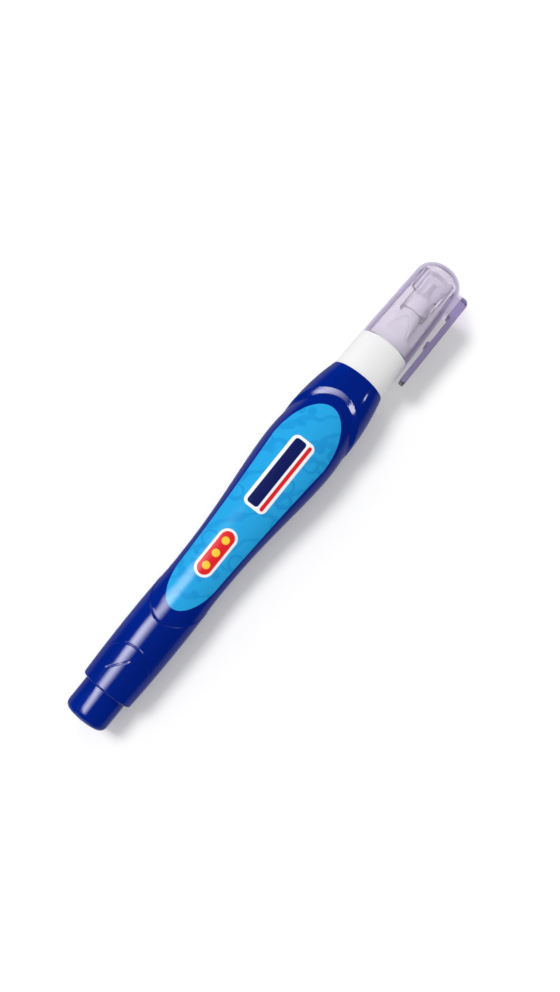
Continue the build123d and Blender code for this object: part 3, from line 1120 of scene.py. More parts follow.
class Workshop:
    """Makes pieces on the frame: turns outlines, hands over finishes and says what each piece stands for."""

    def __init__(self, pen: PenFrame) -> None:
        """Build the shared node trees and the finishes.

        Args:
            pen: The places along the pen.
        """
        self.pen = pen
        for make_group in (moulded_grain_group, fine_scuffs_group, round_bar_group):
            make_group()
        self.turned_form = turned_form_tree()
        self.fin_ring = fin_ring_tree()
        self.wire_coil = wire_coil_tree()
        finishes = {
            Slot.BLUE: MouldedPlastic(
                roughness=0.06, grain_depth=0.004 * MM, colour=srgb(1, 35, 137), deep_colour=srgb(1, 31, 128)
            ),
            Slot.WHITE: MouldedPlastic(
                roughness=0.34,
                grain_depth=0.012 * MM,
                colour=srgb(240, 240, 241),
                deep_colour=srgb(236, 236, 237),
                subsurface=0.1,
            ),
            Slot.VALVE: MouldedPlastic(
                roughness=0.4,
                grain_depth=0.01 * MM,
                colour=srgb(236, 235, 228),
                deep_colour=srgb(228, 227, 220),
            ),
            Slot.SEAL: ClearPlastic(
                pen.axis_height, tint=(0.55, 0.5, 0.65, 1.0), density=60.0, roughness=0.12, haze=0.1, ior=1.45
            ),
            Slot.CLEAR: ClearPlastic(
                pen.axis_height,
                tint=(0.14, 0.0, 0.36, 1.0),
                density=150.0,
                roughness=0.02,
                haze=0.05,
                clip_painted_shade=(0.62, 0.57, 0.78, 1.0),
            ),
            Slot.STEEL: BrightSteel(srgb(226, 226, 229), roughness=0.26, metallic=0.7),
            Slot.LABEL: label_print(),
        }
        self.materials = {slot: finish.build(slot.value) for slot, finish in finishes.items()}

    def turned(self, name: str, corners: list[Corner], closed: bool, slot: Slot) -> Mesh:
        """Turn an outline about the pen's axis.

        Args:
            name: The mesh's name.
            corners: Stations and radii of the outline, each with the rounding of its corner.
            closed: Whether the outline is a closed ring, clear of the axis.
            slot: The finish.

        Returns:
            The turned mesh.
        """
        base = outline_mesh(name, round_corners(corners, closed), closed)
        axis, finish = self.pen.axis_height, self.materials[slot]
        return grown(self.turned_form, base, {"Steps": TURN_STEPS, "Axis Height": axis, "Finish": finish})

    def turned_piece(
        self, name: str, corners: list[Corner], closed: bool, body: Body, slot: Slot, node: str
    ) -> Object:
        """Turn an outline and hand it over, with what turned and hand_over ask for, and return the piece."""
        return self.hand_over(name, dressed(self.turned(name, corners, closed, slot)), body, slot, node)

    def hand_over(self, name: str, mesh: Mesh, body: Body, slot: Slot, node: str) -> Object:
        """Make a mesh a piece of the pen in place of a node.

        Args:
            name: The piece's name.
            mesh: Its mesh, in place.
            body: The body that it rides on.
            slot: Its finish, under the record's name.
            node: The node that it stands for.

        Returns:
            The piece.
        """
        mesh.name = name
        mesh.materials.clear()
        mesh.materials.append(self.materials[slot])
        piece = new_object(name, mesh)
        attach(piece, body.value)
        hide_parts(node)
        log.info("%s: %d faces for %s", name, len(mesh.polygons), node)
        return piece


@dataclass(frozen=True)
class GripLines:
    """Fine lines moulded into the rear shell: an arch and a short slant. Angles are in degrees."""

    depth: float = 0.12 * MM
    half_width: float = 0.34 * MM
    arch_from_rear: float = 11.82 * MM
    arch_drop: float = 2.0 * MM
    arch_drop_angle: float = 45.0
    arch_slope_angle: float = 60.0
    arch_end_angle: float = 62.0
    arch_fade_angle: float = 20.0
    slant_from_rear: float = 4.14 * MM
    slant_length: float = 4.1 * MM
    slant_angle: float = 27.3
    slant_sweep: float = 28.3
    slant_narrowing: float = 0.78
    slant_fade: float = 0.15

    def cut(self, from_rear: np.ndarray, angle: np.ndarray, radius: float) -> np.ndarray:
        """Return how deep the lines are.

        Args:
            from_rear: Distances from the barrel's rear end.
            angle: Angles from the left side up.
            radius: The shell's radius at the rear end.

        Returns:
            The depths.
        """
        from_top = (np.degrees(math.pi / 2 - angle) + 180) % 360 - 180
        arch = self.arch_from_rear - self.arch_drop * (from_top / self.arch_drop_angle) ** 2
        arch_gap = (from_rear - arch) / np.sqrt(1 + (from_top / self.arch_slope_angle) ** 2)
        arch_fade = np.clip((self.arch_end_angle - np.abs(from_top)) / self.arch_fade_angle, 0.0, 1.0)
        share = (from_rear - self.slant_from_rear) / self.slant_length
        turn = np.radians(from_top - self.slant_angle + self.slant_sweep * share)
        slant_gap = turn * radius * self.slant_narrowing
        from_end = 1 + self.slant_fade - share
        slant_fade = np.clip(share / self.slant_fade, 0, 1) * np.clip(from_end / self.slant_fade, 0, 1)
        depth = np.zeros_like(from_rear)
        for gap, fade in ((arch_gap, arch_fade), (slant_gap, slant_fade)):
            wave = np.cos(math.pi * np.clip(gap / self.half_width, -1, 1))
            depth = np.maximum(depth, fade * (0.5 + 0.5 * wave))
        return self.depth * depth


@dataclass
class Barrel:
    """Squeeze barrel: round shells with scalloped ends, the oval panel between them, and the neck.

    The panel's sections are a distance from the rear end or to the mouth, a half width and a half depth.
    """

    pen: PenFrame
    rear_radius: float = 6.5 * MM
    swell_radius: float = 6.93 * MM
    swell_from_rear: float = 18.0 * MM
    rear_cusp_from_rear: float = 27.3 * MM
    rear_cusp_radius: float = 6.8 * MM
    rear_arch_from_rear: float = 19.1 * MM
    shoulder_radius: float = 8.95 * MM
    shoulder_to_mouth: float = 14.4 * MM
    mouth_radius: float = 7.08 * MM
    front_cusp_to_mouth: float = 15.4 * MM
    front_arch_to_mouth: float = 6.05 * MM
    waist_from_rear: float = 30.0 * MM
    waist_half_width: float = 6.63 * MM
    waist_half_depth: float = 6.13 * MM
    bulge_to_mouth: float = 21.1 * MM
    bulge_half_width: float = 9.1 * MM
    bulge_half_depth: float = 8.42 * MM
    bulge_lateness: float = 1.3
    bulge_steps: int = 8
    rear_sections: tuple[Corner, ...] = (
        (14.0 * MM, 6.45 * MM, 6.6 * MM),
        (18.0 * MM, 6.63 * MM, 6.54 * MM),
        (20.0 * MM, 6.88 * MM, 6.47 * MM),
        (22.0 * MM, 6.93 * MM, 6.38 * MM),
        (25.0 * MM, 6.83 * MM, 6.26 * MM),
    )
    front_sections: tuple[Corner, ...] = (
        (16.2 * MM, 8.72 * MM, 8.25 * MM),
        (14.4 * MM, 8.45 * MM, 8.11 * MM),
        (11.4 * MM, 7.91 * MM, 7.8 * MM),
        (8.4 * MM, 7.44 * MM, 7.49 * MM),
        (5.4 * MM, 7.44 * MM, 7.34 * MM),
    )
    rest_flat_depth: float = 0.15 * MM
    rear_edge_round: float = 0.5 * MM
    mouth_edge_round: float = 0.2 * MM
    rear_ramp_width: float = 0.3 * MM
    front_ramp_width: float = 1.75 * MM
    ramp_foot: float = 0.3
    ramp_head: float = 0.12
    wall: float = 0.9 * MM
    hollow_to_mouth: float = 5.0 * MM
    rear_bore_radius: float = 5.0 * MM
    neck_radius: float = 5.55 * MM
    neck_bore_radius: float = 4.5 * MM
    grip: GripLines = field(default_factory=GripLines)
    top_angles: Point = (math.radians(25), math.radians(155))
    top_columns: int = 190
    other_columns: int = 100
    rear_rows: tuple[int, int, int] = (10, 105, 15)
    rear_row_shares: tuple[float, ...] = (0.0, 0.14, 0.7, 1.0)
    ramp_rows: int = 18
    panel_rows: int = 80
    front_rows: int = 36
    edge_rows: int = 5
    hollow_rows: int = 30
    scallop_rounds: int = 20

    def __post_init__(self) -> None:
        """Set the panel's sections: station, half width and half depth, swelling from waist to bulge."""
        rear, mouth = self.pen.barrel_rear, self.pen.mouth
        waist, bulge = rear + self.waist_from_rear, mouth - self.bulge_to_mouth
        low = np.array((self.waist_half_width, self.waist_half_depth))
        high = np.array((self.bulge_half_width, self.bulge_half_depth))
        sections = [(rear + along, *sizes) for along, *sizes in self.rear_sections]
        for step in range(self.bulge_steps + 1):
            share = step / self.bulge_steps
            sizes = low + eased(share**self.bulge_lateness) * (high - low)
            sections.append((waist + share * (bulge - waist), *sizes))
        sections += [(mouth - along, *sizes) for along, *sizes in self.front_sections]
        self.sections = np.array(sections)

    def panel_sizes(self, station: np.ndarray) -> tuple[np.ndarray, np.ndarray]:
        """Work out the panel's sizes, on a smooth curve through its sections.

        Args:
            station: Stations along the pen.

        Returns:
            The half widths and the half depths.
        """
        knots = self.sections[:, 0]
        step = np.diff(knots)
        sizes = []
        for values in (self.sections[:, 1], self.sections[:, 2]):
            rise = np.diff(values) / step
            slope = np.empty_like(values)
            slope[1:-1] = (rise[:-1] * step[1:] + rise[1:] * step[:-1]) / (step[:-1] + step[1:])
            slope[0], slope[-1] = rise[0], rise[-1]
            span = np.clip(np.searchsorted(knots, station) - 1, 0, len(step) - 1)
            share = np.clip((station - knots[span]) / step[span], 0.0, 1.0)
            square, cube = share**2, share**3
            sizes.append(
                (2 * cube - 3 * square + 1) * values[span]
                + (cube - 2 * square + share) * step[span] * slope[span]
                + (3 * square - 2 * cube) * values[span + 1]
                + (cube - square) * step[span] * slope[span + 1]
            )
        return sizes[0], sizes[1]

    def panel_radius(self, station: np.ndarray, angle: np.ndarray) -> np.ndarray:
        """Return the panel's radius at stations and angles, angles being from the left side up."""
        half_width, half_depth = self.panel_sizes(station)
        return 1 / np.sqrt((np.cos(angle) / half_width) ** 2 + (np.sin(angle) / half_depth) ** 2)

    def shell_radius(self, station: np.ndarray) -> np.ndarray:
        """Work out the round shell: an arc at the rear and a tangent arc at the front.

        Args:
            station: Stations along the pen.

        Returns:
            The radii.
        """
        rear, mouth = self.pen.barrel_rear, self.pen.mouth
        first = np.array((0.0, self.rear_radius))
        middle = np.array((self.swell_from_rear, self.swell_radius))
        last = np.array((self.rear_cusp_from_rear, self.rear_cusp_radius))
        sides = 2 * np.array((middle - first, last - first))
        squares = np.array((middle @ middle - first @ first, last @ last - first @ first))
        centre = np.linalg.solve(sides, squares)
        arc_radius = np.linalg.norm(first - centre)
        from_rear = station - rear - centre[0]
        rear_shell = centre[1] + np.sqrt(np.maximum(arc_radius**2 - from_rear**2, 0.0))
        drop = self.shoulder_radius - self.mouth_radius
        front_arc = (self.shoulder_to_mouth**2 + drop**2) / (2 * drop)
        past = np.clip(station - (mouth - self.shoulder_to_mouth), 0.0, None)
        front_shell = self.shoulder_radius - front_arc + np.sqrt(front_arc**2 - past**2)
        return np.where(station < (rear + mouth) / 2, rear_shell, front_shell)

    def edge_stations(self, angle: np.ndarray) -> tuple[np.ndarray, ...]:
        """Work out where each shell ends, and how long its ramp is along the pen.

        Args:
            angle: Angles from the left side up.

        Returns:
            The rear shell's edge and ramp, and the front shell's.
        """
        rear, mouth = self.pen.barrel_rear, self.pen.mouth
        rear_end = (rear + self.rear_cusp_from_rear, rear + self.rear_arch_from_rear)
        front_end = (mouth - self.front_cusp_to_mouth, mouth - self.front_arch_to_mouth)
        found = []
        for (cusp, arch), arch_radius, ramp in (
            (rear_end, self.swell_radius, self.rear_ramp_width),
            (front_end, self.bulge_half_depth, self.front_ramp_width),
        ):
            slope = (arch - cusp) / arch_radius
            edge = np.full_like(angle, cusp)
            for _ in range(self.scallop_rounds):
                edge = cusp + slope * self.shell_radius(edge) * np.abs(np.sin(angle))
            found += [edge, ramp * np.sqrt(1 + (slope * np.cos(angle)) ** 2)]
        return tuple(found)

    def edge_row(
        self, end: float, rounding: float, step: int, angle: np.ndarray
    ) -> tuple[np.ndarray, np.ndarray]:
        """Return one ring of a rounded end.

        Args:
            end: Where the end face is.
            rounding: How far the rounding reaches from it, with its sign.
            step: The ring's number, from 0 where the rounding starts to the last on the end face.
            angle: The ring's angles.

        Returns:
            The ring's stations and radii.
        """
        lean = math.pi / 2 * step / self.edge_rows
        station = np.full_like(angle, end + rounding * (1 - math.sin(lean)))
        full = self.shell_radius(np.full_like(angle, end + rounding))
        return station, full - abs(rounding) * (1 - math.cos(lean))

    def ramp_row(
        self, edge: np.ndarray, reach: np.ndarray, share: float, angle: np.ndarray
    ) -> tuple[np.ndarray, np.ndarray]:
        """Return one ring of the ramp between a shell and the panel, straight with a rounded foot and head.

        Args:
            edge: Where the shell ends.
            reach: How far the ramp runs from there.
            share: How high up the ramp the ring is, from 0 at the panel to 1 at the shell.
            angle: The ring's angles.

        Returns:
            The ring's stations and radii.
        """
        station = edge + reach * (1 - share)
        slope = 1 / (1 - self.ramp_foot / 2 - self.ramp_head / 2)
        if share < self.ramp_foot:
            part = slope * share**2 / (2 * self.ramp_foot)
        elif share > 1 - self.ramp_head:
            part = 1 - slope * (1 - share) ** 2 / (2 * self.ramp_head)
        else:
            part = slope * (share - self.ramp_foot / 2)
        shell = self.shell_radius(edge)
        panel = self.panel_radius(station, angle)
        return station, panel + part * (shell - panel)

    def outer_rows(self, angle: np.ndarray) -> list[tuple[np.ndarray, np.ndarray]]:
        """Lay out the rings of the outside, from the rear end to the mouth.

        Args:
            angle: The rings' angles.

        Returns:
            Each ring's stations and radii.
        """
        rear, mouth = self.pen.barrel_rear, self.pen.mouth
        rear_edge, rear_ramp, front_edge, front_ramp = self.edge_stations(angle)
        start = np.full_like(angle, rear + self.rear_edge_round)
        end = np.full_like(angle, mouth - self.mouth_edge_round)
        steps = range(self.edge_rows)
        rows = [self.edge_row(rear, self.rear_edge_round, step, angle) for step in reversed(steps)]
        marks = np.cumsum((0, *self.rear_rows))
        for share in np.interp(np.arange(1, marks[-1]), marks, self.rear_row_shares):
            station = start + share * (rear_edge - start)
            cut = self.grip.cut(station - rear, angle, self.rear_radius)
            rows.append((station, self.shell_radius(station) - cut))
        shares = [step / self.ramp_rows for step in range(self.ramp_rows)]
        rows += [self.ramp_row(rear_edge, rear_ramp, 1 - share, angle) for share in shares]
        for station in spaced(rear_edge + rear_ramp, front_edge - front_ramp, self.panel_rows)[:-1]:
            rows.append((station, self.panel_radius(station, angle)))
        rows += [self.ramp_row(front_edge, -front_ramp, share, angle) for share in shares]
        for station in spaced(front_edge, end, self.front_rows):
            rows.append((station, self.shell_radius(station)))
        return rows + [self.edge_row(mouth, -self.mouth_edge_round, step + 1, angle) for step in steps]

    def inner_rows(self, angle: np.ndarray) -> list[tuple[np.ndarray, np.ndarray]]:
        """Lay out the rings of the neck and the hollow, from the mouth back to the rear end.

        Args:
            angle: The rings' angles.

        Returns:
            Each ring's stations and radii.
        """
        mouth, neck_end, rear = self.pen.mouth, self.pen.neck_end, self.pen.barrel_rear
        waist = rear + self.waist_from_rear
        flat = np.ones_like(angle)
        neck = [(mouth, self.neck_radius), (neck_end, self.neck_radius)]
        neck += [(neck_end, self.neck_bore_radius), (mouth, self.neck_bore_radius)]
        rows = [(station * flat, radius * flat) for station, radius in neck]
        for station in spaced((mouth - self.hollow_to_mouth) * flat, waist * flat, self.hollow_rows):
            rows.append((station, self.panel_radius(station, angle) - self.wall))
        return rows + [(station * flat, self.rear_bore_radius * flat) for station in (waist, rear)]

    def rings(self) -> np.ndarray:
        """Lay out the barrel, over the outside and back through the hollow.

        Returns:
            The points by ring, angle and coordinate.
        """
        first, last = self.top_angles
        top = np.linspace(first, last, self.top_columns, endpoint=False)
        others = np.linspace(last, first + math.tau, self.other_columns, endpoint=False)
        angle = np.concatenate((top, others))
        rows = self.outer_rows(angle) + self.inner_rows(angle)
        stations = np.array([station for station, _ in rows])
        radii = np.array([radius for _, radius in rows])
        rise = np.maximum(radii * np.sin(angle), self.rest_flat_depth - self.bulge_half_depth)
        return np.stack((stations, radii * np.cos(angle), self.pen.axis_height + rise), axis=-1)

    def build(self, shop: Workshop) -> Object:
        """Make the barrel and return it."""
        mesh = dressed(lattice("squeeze_barrel", self.rings(), True), SOFT_ANGLE)
        return shop.hand_over("squeeze_barrel", mesh, Body.BARREL, Slot.BLUE, "barrel")


@dataclass
class TailPlug:
    """Plug in the barrel's rear end, with a stub that the cap can be posted on."""

    pen: PenFrame
    stub_radius: float = 5.4 * MM
    end_round: float = 1.6 * MM
    root_round: float = 0.12 * MM
    spigot_radius: float = 4.98 * MM
    spigot_length: float = 6.0 * MM
    wall: float = 1.0 * MM
    dimple_radius: float = 0.9 * MM
    dimple_depth: float = 0.25 * MM
    dimple_floor_share: float = 0.8

    def build(self, shop: Workshop) -> Object:
        """Make the plug, with the small sunk mark of its gate.

        Args:
            shop: The workshop.

        Returns:
            The piece.
        """
        tail, root = self.pen.tail, self.pen.barrel_rear
        inner = self.spigot_radius - self.wall
        corners = [
            (tail + self.dimple_depth, 0.0, 0.0),
            (tail + self.dimple_depth, self.dimple_radius * self.dimple_floor_share, self.root_round),
            (tail, self.dimple_radius, self.root_round),
            (tail, self.stub_radius, self.end_round),
            (root, self.stub_radius, self.root_round),
            (root, self.spigot_radius, 0.0),
            (root + self.spigot_length, self.spigot_radius, self.root_round),
            (root + self.spigot_length, inner, self.root_round),
            (root, inner, 0.0),
            (root, 0.0, 0.0),
        ]
        return shop.turned_piece("tail_stub", corners, False, Body.BARREL, Slot.BLUE, "tail_plug")


@dataclass
class Label:
    """Film on the front panel, egg-shaped, with its print laid out flat."""

    pen: PenFrame
    barrel: Barrel
    rear_end_length: float = 10.0 * MM
    front_end_length: float = 12.6 * MM
    rear_half_width: float = 5.25 * MM
    front_half_width: float = 7.25 * MM
    side_sag: float = 0.2 * MM
    proud: float = 0.05 * MM
    thickness: float = 0.045 * MM
    end_rows: int = 22
    side_rows: int = 44
    columns: int = 41

    def outline(self) -> tuple[np.ndarray, np.ndarray]:
        """Lay out the film's egg shape.

        Returns:
            The stations of its rows, and their half widths.
        """
        low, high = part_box("front_label")
        rear_centre, front_centre = low.x + self.rear_end_length, high.x - self.front_end_length
        turn = np.linspace(0, math.pi / 2, self.end_rows)
        share = np.linspace(0, 1, self.side_rows)[1:-1]
        stations = np.concatenate(
            (
                rear_centre - self.rear_end_length * np.cos(turn),
                rear_centre + share * (front_centre - rear_centre),
                front_centre + self.front_end_length * np.cos(turn[::-1]),
            )
        )
        halves = np.concatenate(
            (
                self.rear_half_width * np.sin(turn),
                self.rear_half_width
                + share * (self.front_half_width - self.rear_half_width)
                - 4 * self.side_sag * share * (1 - share),
                self.front_half_width * np.sin(turn[::-1]),
            )
        )
        return stations, halves

    def lay_print(self, mesh: Mesh, station: np.ndarray, side: np.ndarray) -> None:
        """Give the film its flat print coordinates, in shares of its length from its rear end.

        Args:
            mesh: The film, which is changed.
            station: Its points' stations.
            side: Its points' places across the pen.
        """
        length = station.max() - station.min()
        flat = np.stack(((station - station.min()) / length, side / length), axis=-1).reshape(-1, 2)
        corners = np.empty(len(mesh.loops), dtype=np.int32)
        mesh.loops.foreach_get("vertex_index", corners)
        print_map = mesh.uv_layers.new(name="print")
        print_map.data.foreach_set("uv", flat[corners].astype(np.float32).ravel())

    def face_up(self, mesh: Mesh) -> None:
        """Close the film's ends, point its faces up and shade it smooth.

        Args:
            mesh: The film, which is changed.
        """
        with edited(mesh) as work:
            bmesh.ops.remove_doubles(work, verts=work.verts, dist=MERGE_DISTANCE)
            bmesh.ops.recalc_face_normals(work, faces=work.faces)
            if sum(face.normal.z for face in work.faces) < 0:
                bmesh.ops.reverse_faces(work, faces=work.faces)
            for face in work.faces:
                face.smooth = True

    def build(self, shop: Workshop) -> Object:
        """Make the film with its flat print coordinates.

        Args:
            shop: The workshop.

        Returns:
            The piece.
        """
        stations, halves = self.outline()
        side = halves[:, None] * np.linspace(-1, 1, self.columns)[None, :]
        station = np.repeat(stations[:, None], self.columns, axis=1)
        half_width, half_depth = self.barrel.panel_sizes(station)
        rise = (half_depth + self.proud) * np.sqrt(1 - (side / (half_width + self.proud)) ** 2)
        mesh = lattice("label_film", np.stack((station, side, self.pen.axis_height + rise), axis=-1), False)
        self.lay_print(mesh, station, side)
        self.face_up(mesh)
        blank = new_object("film_blank", mesh)
        thick = blank.modifiers.new("film", "SOLIDIFY")
        thick.thickness = self.thickness
        thick.offset = -1.0
        mesh = frozen(blank)
        mesh.set_sharp_from_angle(angle=SOFT_ANGLE)
        return shop.hand_over("label_film", mesh, Body.BARREL, Slot.LABEL, "front_label")


@dataclass
class Collar:
    """White collar: skirt over the barrel's neck, seat for the cap, cone with four flats, short nose."""

    pen: PenFrame
    skirt_rear_radius: float = 7.0 * MM
    skirt_front_radius: float = 6.75 * MM
    skirt_length: float = 10.1 * MM
    seat_radius: float = 5.4 * MM
    seat_length: float = 3.5 * MM
    seat_edge: float = 0.3 * MM
    cone_base_radius: float = 4.2 * MM
    cone_top_radius: float = 2.65 * MM
    cone_length: float = 7.3 * MM
    flat_to_axis: float = 3.0 * MM
    line_depth: float = 0.5 * MM
    line_half_width: float = 0.17 * MM
    nose_radius: float = 2.55 * MM
    edge_round: float = 0.12 * MM
    socket_radius: float = 5.57 * MM
    socket_length: float = 8.2 * MM
    valve_bore_radius: float = 3.3 * MM
    valve_bore_length: float = 4.4 * MM
    chamber_radius: float = 2.4 * MM
    chamber_taper: float = 0.6 * MM
    shank_length: float = 6.8 * MM
    shank_radius: float = 1.37 * MM
    columns: int = 320
    cone_rows: int = 80
    cone_row_margin: int = 3

    def rings(self) -> np.ndarray:
        """Lay out the collar, over the outside and back through the bores.

        Returns:
            The points by ring, angle and coordinate.
        """
        start, nose = self.pen.mouth, self.pen.nose_end
        rim = start + self.skirt_length
        seat = rim + self.seat_length
        cone = seat + self.cone_length
        socket = start + self.socket_length
        valve = socket + self.valve_bore_length
        shank = nose - self.shank_length
        edge = self.edge_round
        drop = self.cone_top_radius - self.cone_base_radius
        rows = np.arange(self.cone_row_margin, self.cone_rows - self.cone_row_margin + 1)
        cone_line = [
            (seat + share * self.cone_length, self.cone_base_radius + share * drop, 0.0)
            for share in (rows / self.cone_rows).tolist()
        ]
        corners = [
            (start, self.socket_radius, edge),
            (start, self.skirt_rear_radius, edge),
            (rim, self.skirt_front_radius, edge),
            (rim, self.seat_radius, edge),
            (seat, self.seat_radius, self.seat_edge),
            (seat, self.cone_base_radius, edge),
            *cone_line,
            (cone, self.cone_top_radius, 0.0),
            (cone, self.nose_radius, 0.0),
            (nose, self.nose_radius, edge),
            (nose, self.shank_radius, edge),
            (shank, self.shank_radius, 0.0),
            (shank - self.chamber_taper, self.chamber_radius, 0.0),
            (valve, self.chamber_radius, 0.0),
            (valve, self.valve_bore_radius, 0.0),
            (socket, self.valve_bore_radius, 0.0),
            (socket, self.socket_radius, 0.0),
        ]
        outline = np.array(round_corners(corners, True))
        station, radius = outline[:, :1], outline[:, 1:]
        angle = np.linspace(0, math.tau, self.columns, endpoint=False)
        fold = (angle + math.pi / 4) % (math.pi / 2) - math.pi / 4
        flat = self.flat_to_axis / np.cos(fold)
        gap = (radius - flat) / np.hypot(drop / self.cone_length, flat * np.tan(fold) / radius)
        line = self.line_depth * np.exp(-((gap / self.line_half_width) ** 2))
        on_cone = (station > seat) & (station < cone) & (radius > self.nose_radius)
        radius = np.where(on_cone, np.minimum(radius, flat) - line, radius)
        rise = self.pen.axis_height + radius * np.sin(angle)
        return np.stack(np.broadcast_arrays(station, radius * np.cos(angle), rise), axis=-1)

    def build(self, shop: Workshop) -> Object:
        """Make the collar and return it."""
        mesh = dressed(lattice("white_collar", self.rings(), True))
        return shop.hand_over("white_collar", mesh, Body.BARREL, Slot.WHITE, "collar")


@dataclass
class MetalTip:
    """Steel tip: shank in the nose, tapered ferrule, slim nozzle with a fine orifice."""

    pen: PenFrame
    shank_radius: float = 1.35 * MM
    shank_length: float = 6.8 * MM
    bore_radius: float = 0.75 * MM
    ferrule_radius: float = 2.2 * MM
    ferrule_length: float = 2.2 * MM
    nozzle_radius: float = 0.75 * MM
    orifice_radius: float = 0.42 * MM
    orifice_length: float = 1.6 * MM
    edge_round: float = 0.15 * MM

    def build(self, shop: Workshop) -> Object:
        """Make the tip.

        Args:
            shop: The workshop.

        Returns:
            The piece.
        """
        nose, tip = self.pen.nose_end, self.pen.tip_end
        ferrule = nose + self.ferrule_length
        edge = self.edge_round
        corners = [
            (nose - self.shank_length, self.bore_radius, 0.0),
            (nose - self.shank_length, self.shank_radius, edge),
            (nose, self.shank_radius, 0.0),
            (nose, self.ferrule_radius, edge),
            (ferrule, self.nozzle_radius, 2 * edge),
            (tip, self.nozzle_radius, edge),
            (tip, self.orifice_radius, 0.0),
            (tip - self.orifice_length, self.orifice_radius, 0.0),
            (nose, self.bore_radius, 0.0),
        ]
        return shop.turned_piece("steel_nozzle", corners, True, Body.BARREL, Slot.STEEL, "metal_tip")


@dataclass
class Cap:
    """Clear push-on cap: tapered tube with a dome, fins inside, and a clip moulded with it."""

    pen: PenFrame
    rim_radius: float = 6.72 * MM
    crown_radius: float = 6.03 * MM
    dome_height: float = 4.55 * MM
    dome_wall: float = 1.6 * MM
    wall: float = 1.2 * MM
    bore_radius: float = 5.46 * MM
    bore_length: float = 3.9 * MM
    length: float = 25.4 * MM
    edge_round: float = 0.15 * MM
    dome_steps: int = 28
    fin_count: int = 4
    fin_thickness: float = 0.8 * MM
    fin_length: float = 5.6 * MM
    fin_into_dome: float = 0.4 * MM
    fin_inner_radius: float = 3.47 * MM
    clip_reach: float = 9.1 * MM
    clip_thickness: float = 1.5 * MM
    clip_width: float = 4.2 * MM
    clip_below_apex: float = 3.85 * MM
    clip_length: float = 25.5 * MM
    clip_root_length: float = 5.75 * MM
    clip_corner_round: float = 1.4 * MM
    clip_edge_round: float = 0.35 * MM
    clip_edge_steps: int = 4
    clip_tip_round: float = 0.57 * MM
    clip_root_round: float = 0.3 * MM
    rib_radius: float = 0.6 * MM
    rib_to_tip: float = 11.1 * MM
    rib_steps: int = 12
    root_depth: float = 5.4 * MM

    def dome(self, height: float, radius: float) -> list[Corner]:
        """Lay out a quarter ellipse from the dome's base to its apex.

        Args:
            height: How far it rises.
            radius: Its radius at the base.

        Returns:
            Stations and radii, with no rounding.
        """
        base = self.pen.apex - self.dome_height
        turns = [math.pi / 2 * step / self.dome_steps for step in range(1, self.dome_steps)]
        curve = [(base + height * math.sin(turn), radius * math.cos(turn), 0.0) for turn in turns]
        return [(base, radius, 0.0), *curve, (base + height, 0.0, 0.0)]

    def clip(self) -> Mesh:
        """Make the clip: root, arm with a round tip, and the gripping rib, with rounded outer edges.

        Returns:
            The mesh.
        """
        top = self.pen.apex - self.clip_below_apex
        tip, root = top - self.clip_length, top - self.clip_root_length
        outer, inner = -self.clip_reach, -(self.clip_reach - self.clip_thickness)
        rib = tip + self.rib_to_tip
        corners = [
            (top, -self.root_depth, 0.0),
            (top, outer, self.clip_corner_round),
            (tip, outer, self.clip_tip_round),
            (tip, inner, self.clip_tip_round),
            (rib - self.rib_radius, inner, 0.0),
        ]
        for step in range(1, self.rib_steps):
            turn = math.pi * step / self.rib_steps
            along, across = self.rib_radius * math.cos(turn), self.rib_radius * math.sin(turn)
            corners.append((rib - along, inner + across, 0.0))
        corners += [
            (rib + self.rib_radius, inner, 0.0),
            (root, inner, self.clip_root_round),
            (root, -self.root_depth, 0.0),
        ]
        mesh = prism("clip", round_corners(corners, True), self.clip_width / 2, self.pen.axis_height)
        with edited(mesh) as work:
            rim = [
                edge
                for edge in work.edges
                if abs(edge.verts[0].co.z - edge.verts[1].co.z) < MERGE_DISTANCE
                and min(vert.co.y for vert in edge.verts) < inner + MERGE_DISTANCE
            ]
            rounding = {"offset": self.clip_edge_round, "segments": self.clip_edge_steps, "profile": 0.5}
            bmesh.ops.bevel(work, geom=rim, affect="EDGES", **rounding)
        return dressed(mesh)

    def build(self, shop: Workshop) -> Object:
        """Make the cap.

        Args:
            shop: The workshop.

        Returns:
            The piece.
        """
        start, base = self.pen.apex - self.length, self.pen.apex - self.dome_height
        outside = [(start, 0.0, 0.0), (start, self.rim_radius, self.edge_round)]
        outside += self.dome(self.dome_height, self.crown_radius)
        inner_crown = self.crown_radius - self.wall
        hollow = [
            (start - self.wall, 0.0, 0.0),
            (start - self.wall, self.bore_radius, 0.0),
            (start + self.bore_length, self.bore_radius, 0.0),
            *self.dome(self.dome_height - self.dome_wall, inner_crown),
        ]
        mesh = dressed(shop.turned("cap_outside", outside, False, Slot.CLEAR))
        mesh = shaped(mesh, self.clip(), Cut.JOIN)
        hollow_mesh = dressed(shop.turned("cap_hollow", hollow, False, Slot.CLEAR))
        mesh = shaped(mesh, hollow_mesh, Cut.REMOVE)
        fin_depth = inner_crown + self.wall / 2 - self.fin_inner_radius
        full_length = self.fin_length + self.fin_into_dome
        fins = grown(
            shop.fin_ring,
            bpy.data.meshes.new("fins"),
            {
                "Count": self.fin_count,
                "Fin Size": (full_length, fin_depth, self.fin_thickness),
                "Centre": (base - self.fin_length + full_length / 2, 0.0, self.pen.axis_height),
                "Reach": self.fin_inner_radius + fin_depth / 2,
                "First Angle": math.pi / self.fin_count,
                "Finish": shop.materials[Slot.CLEAR],
            },
        )
        mesh = dressed(shaped(mesh, dressed(fins), Cut.JOIN))
        return shop.hand_over("clear_cap", mesh, Body.CAP, Slot.CLEAR, "cap")


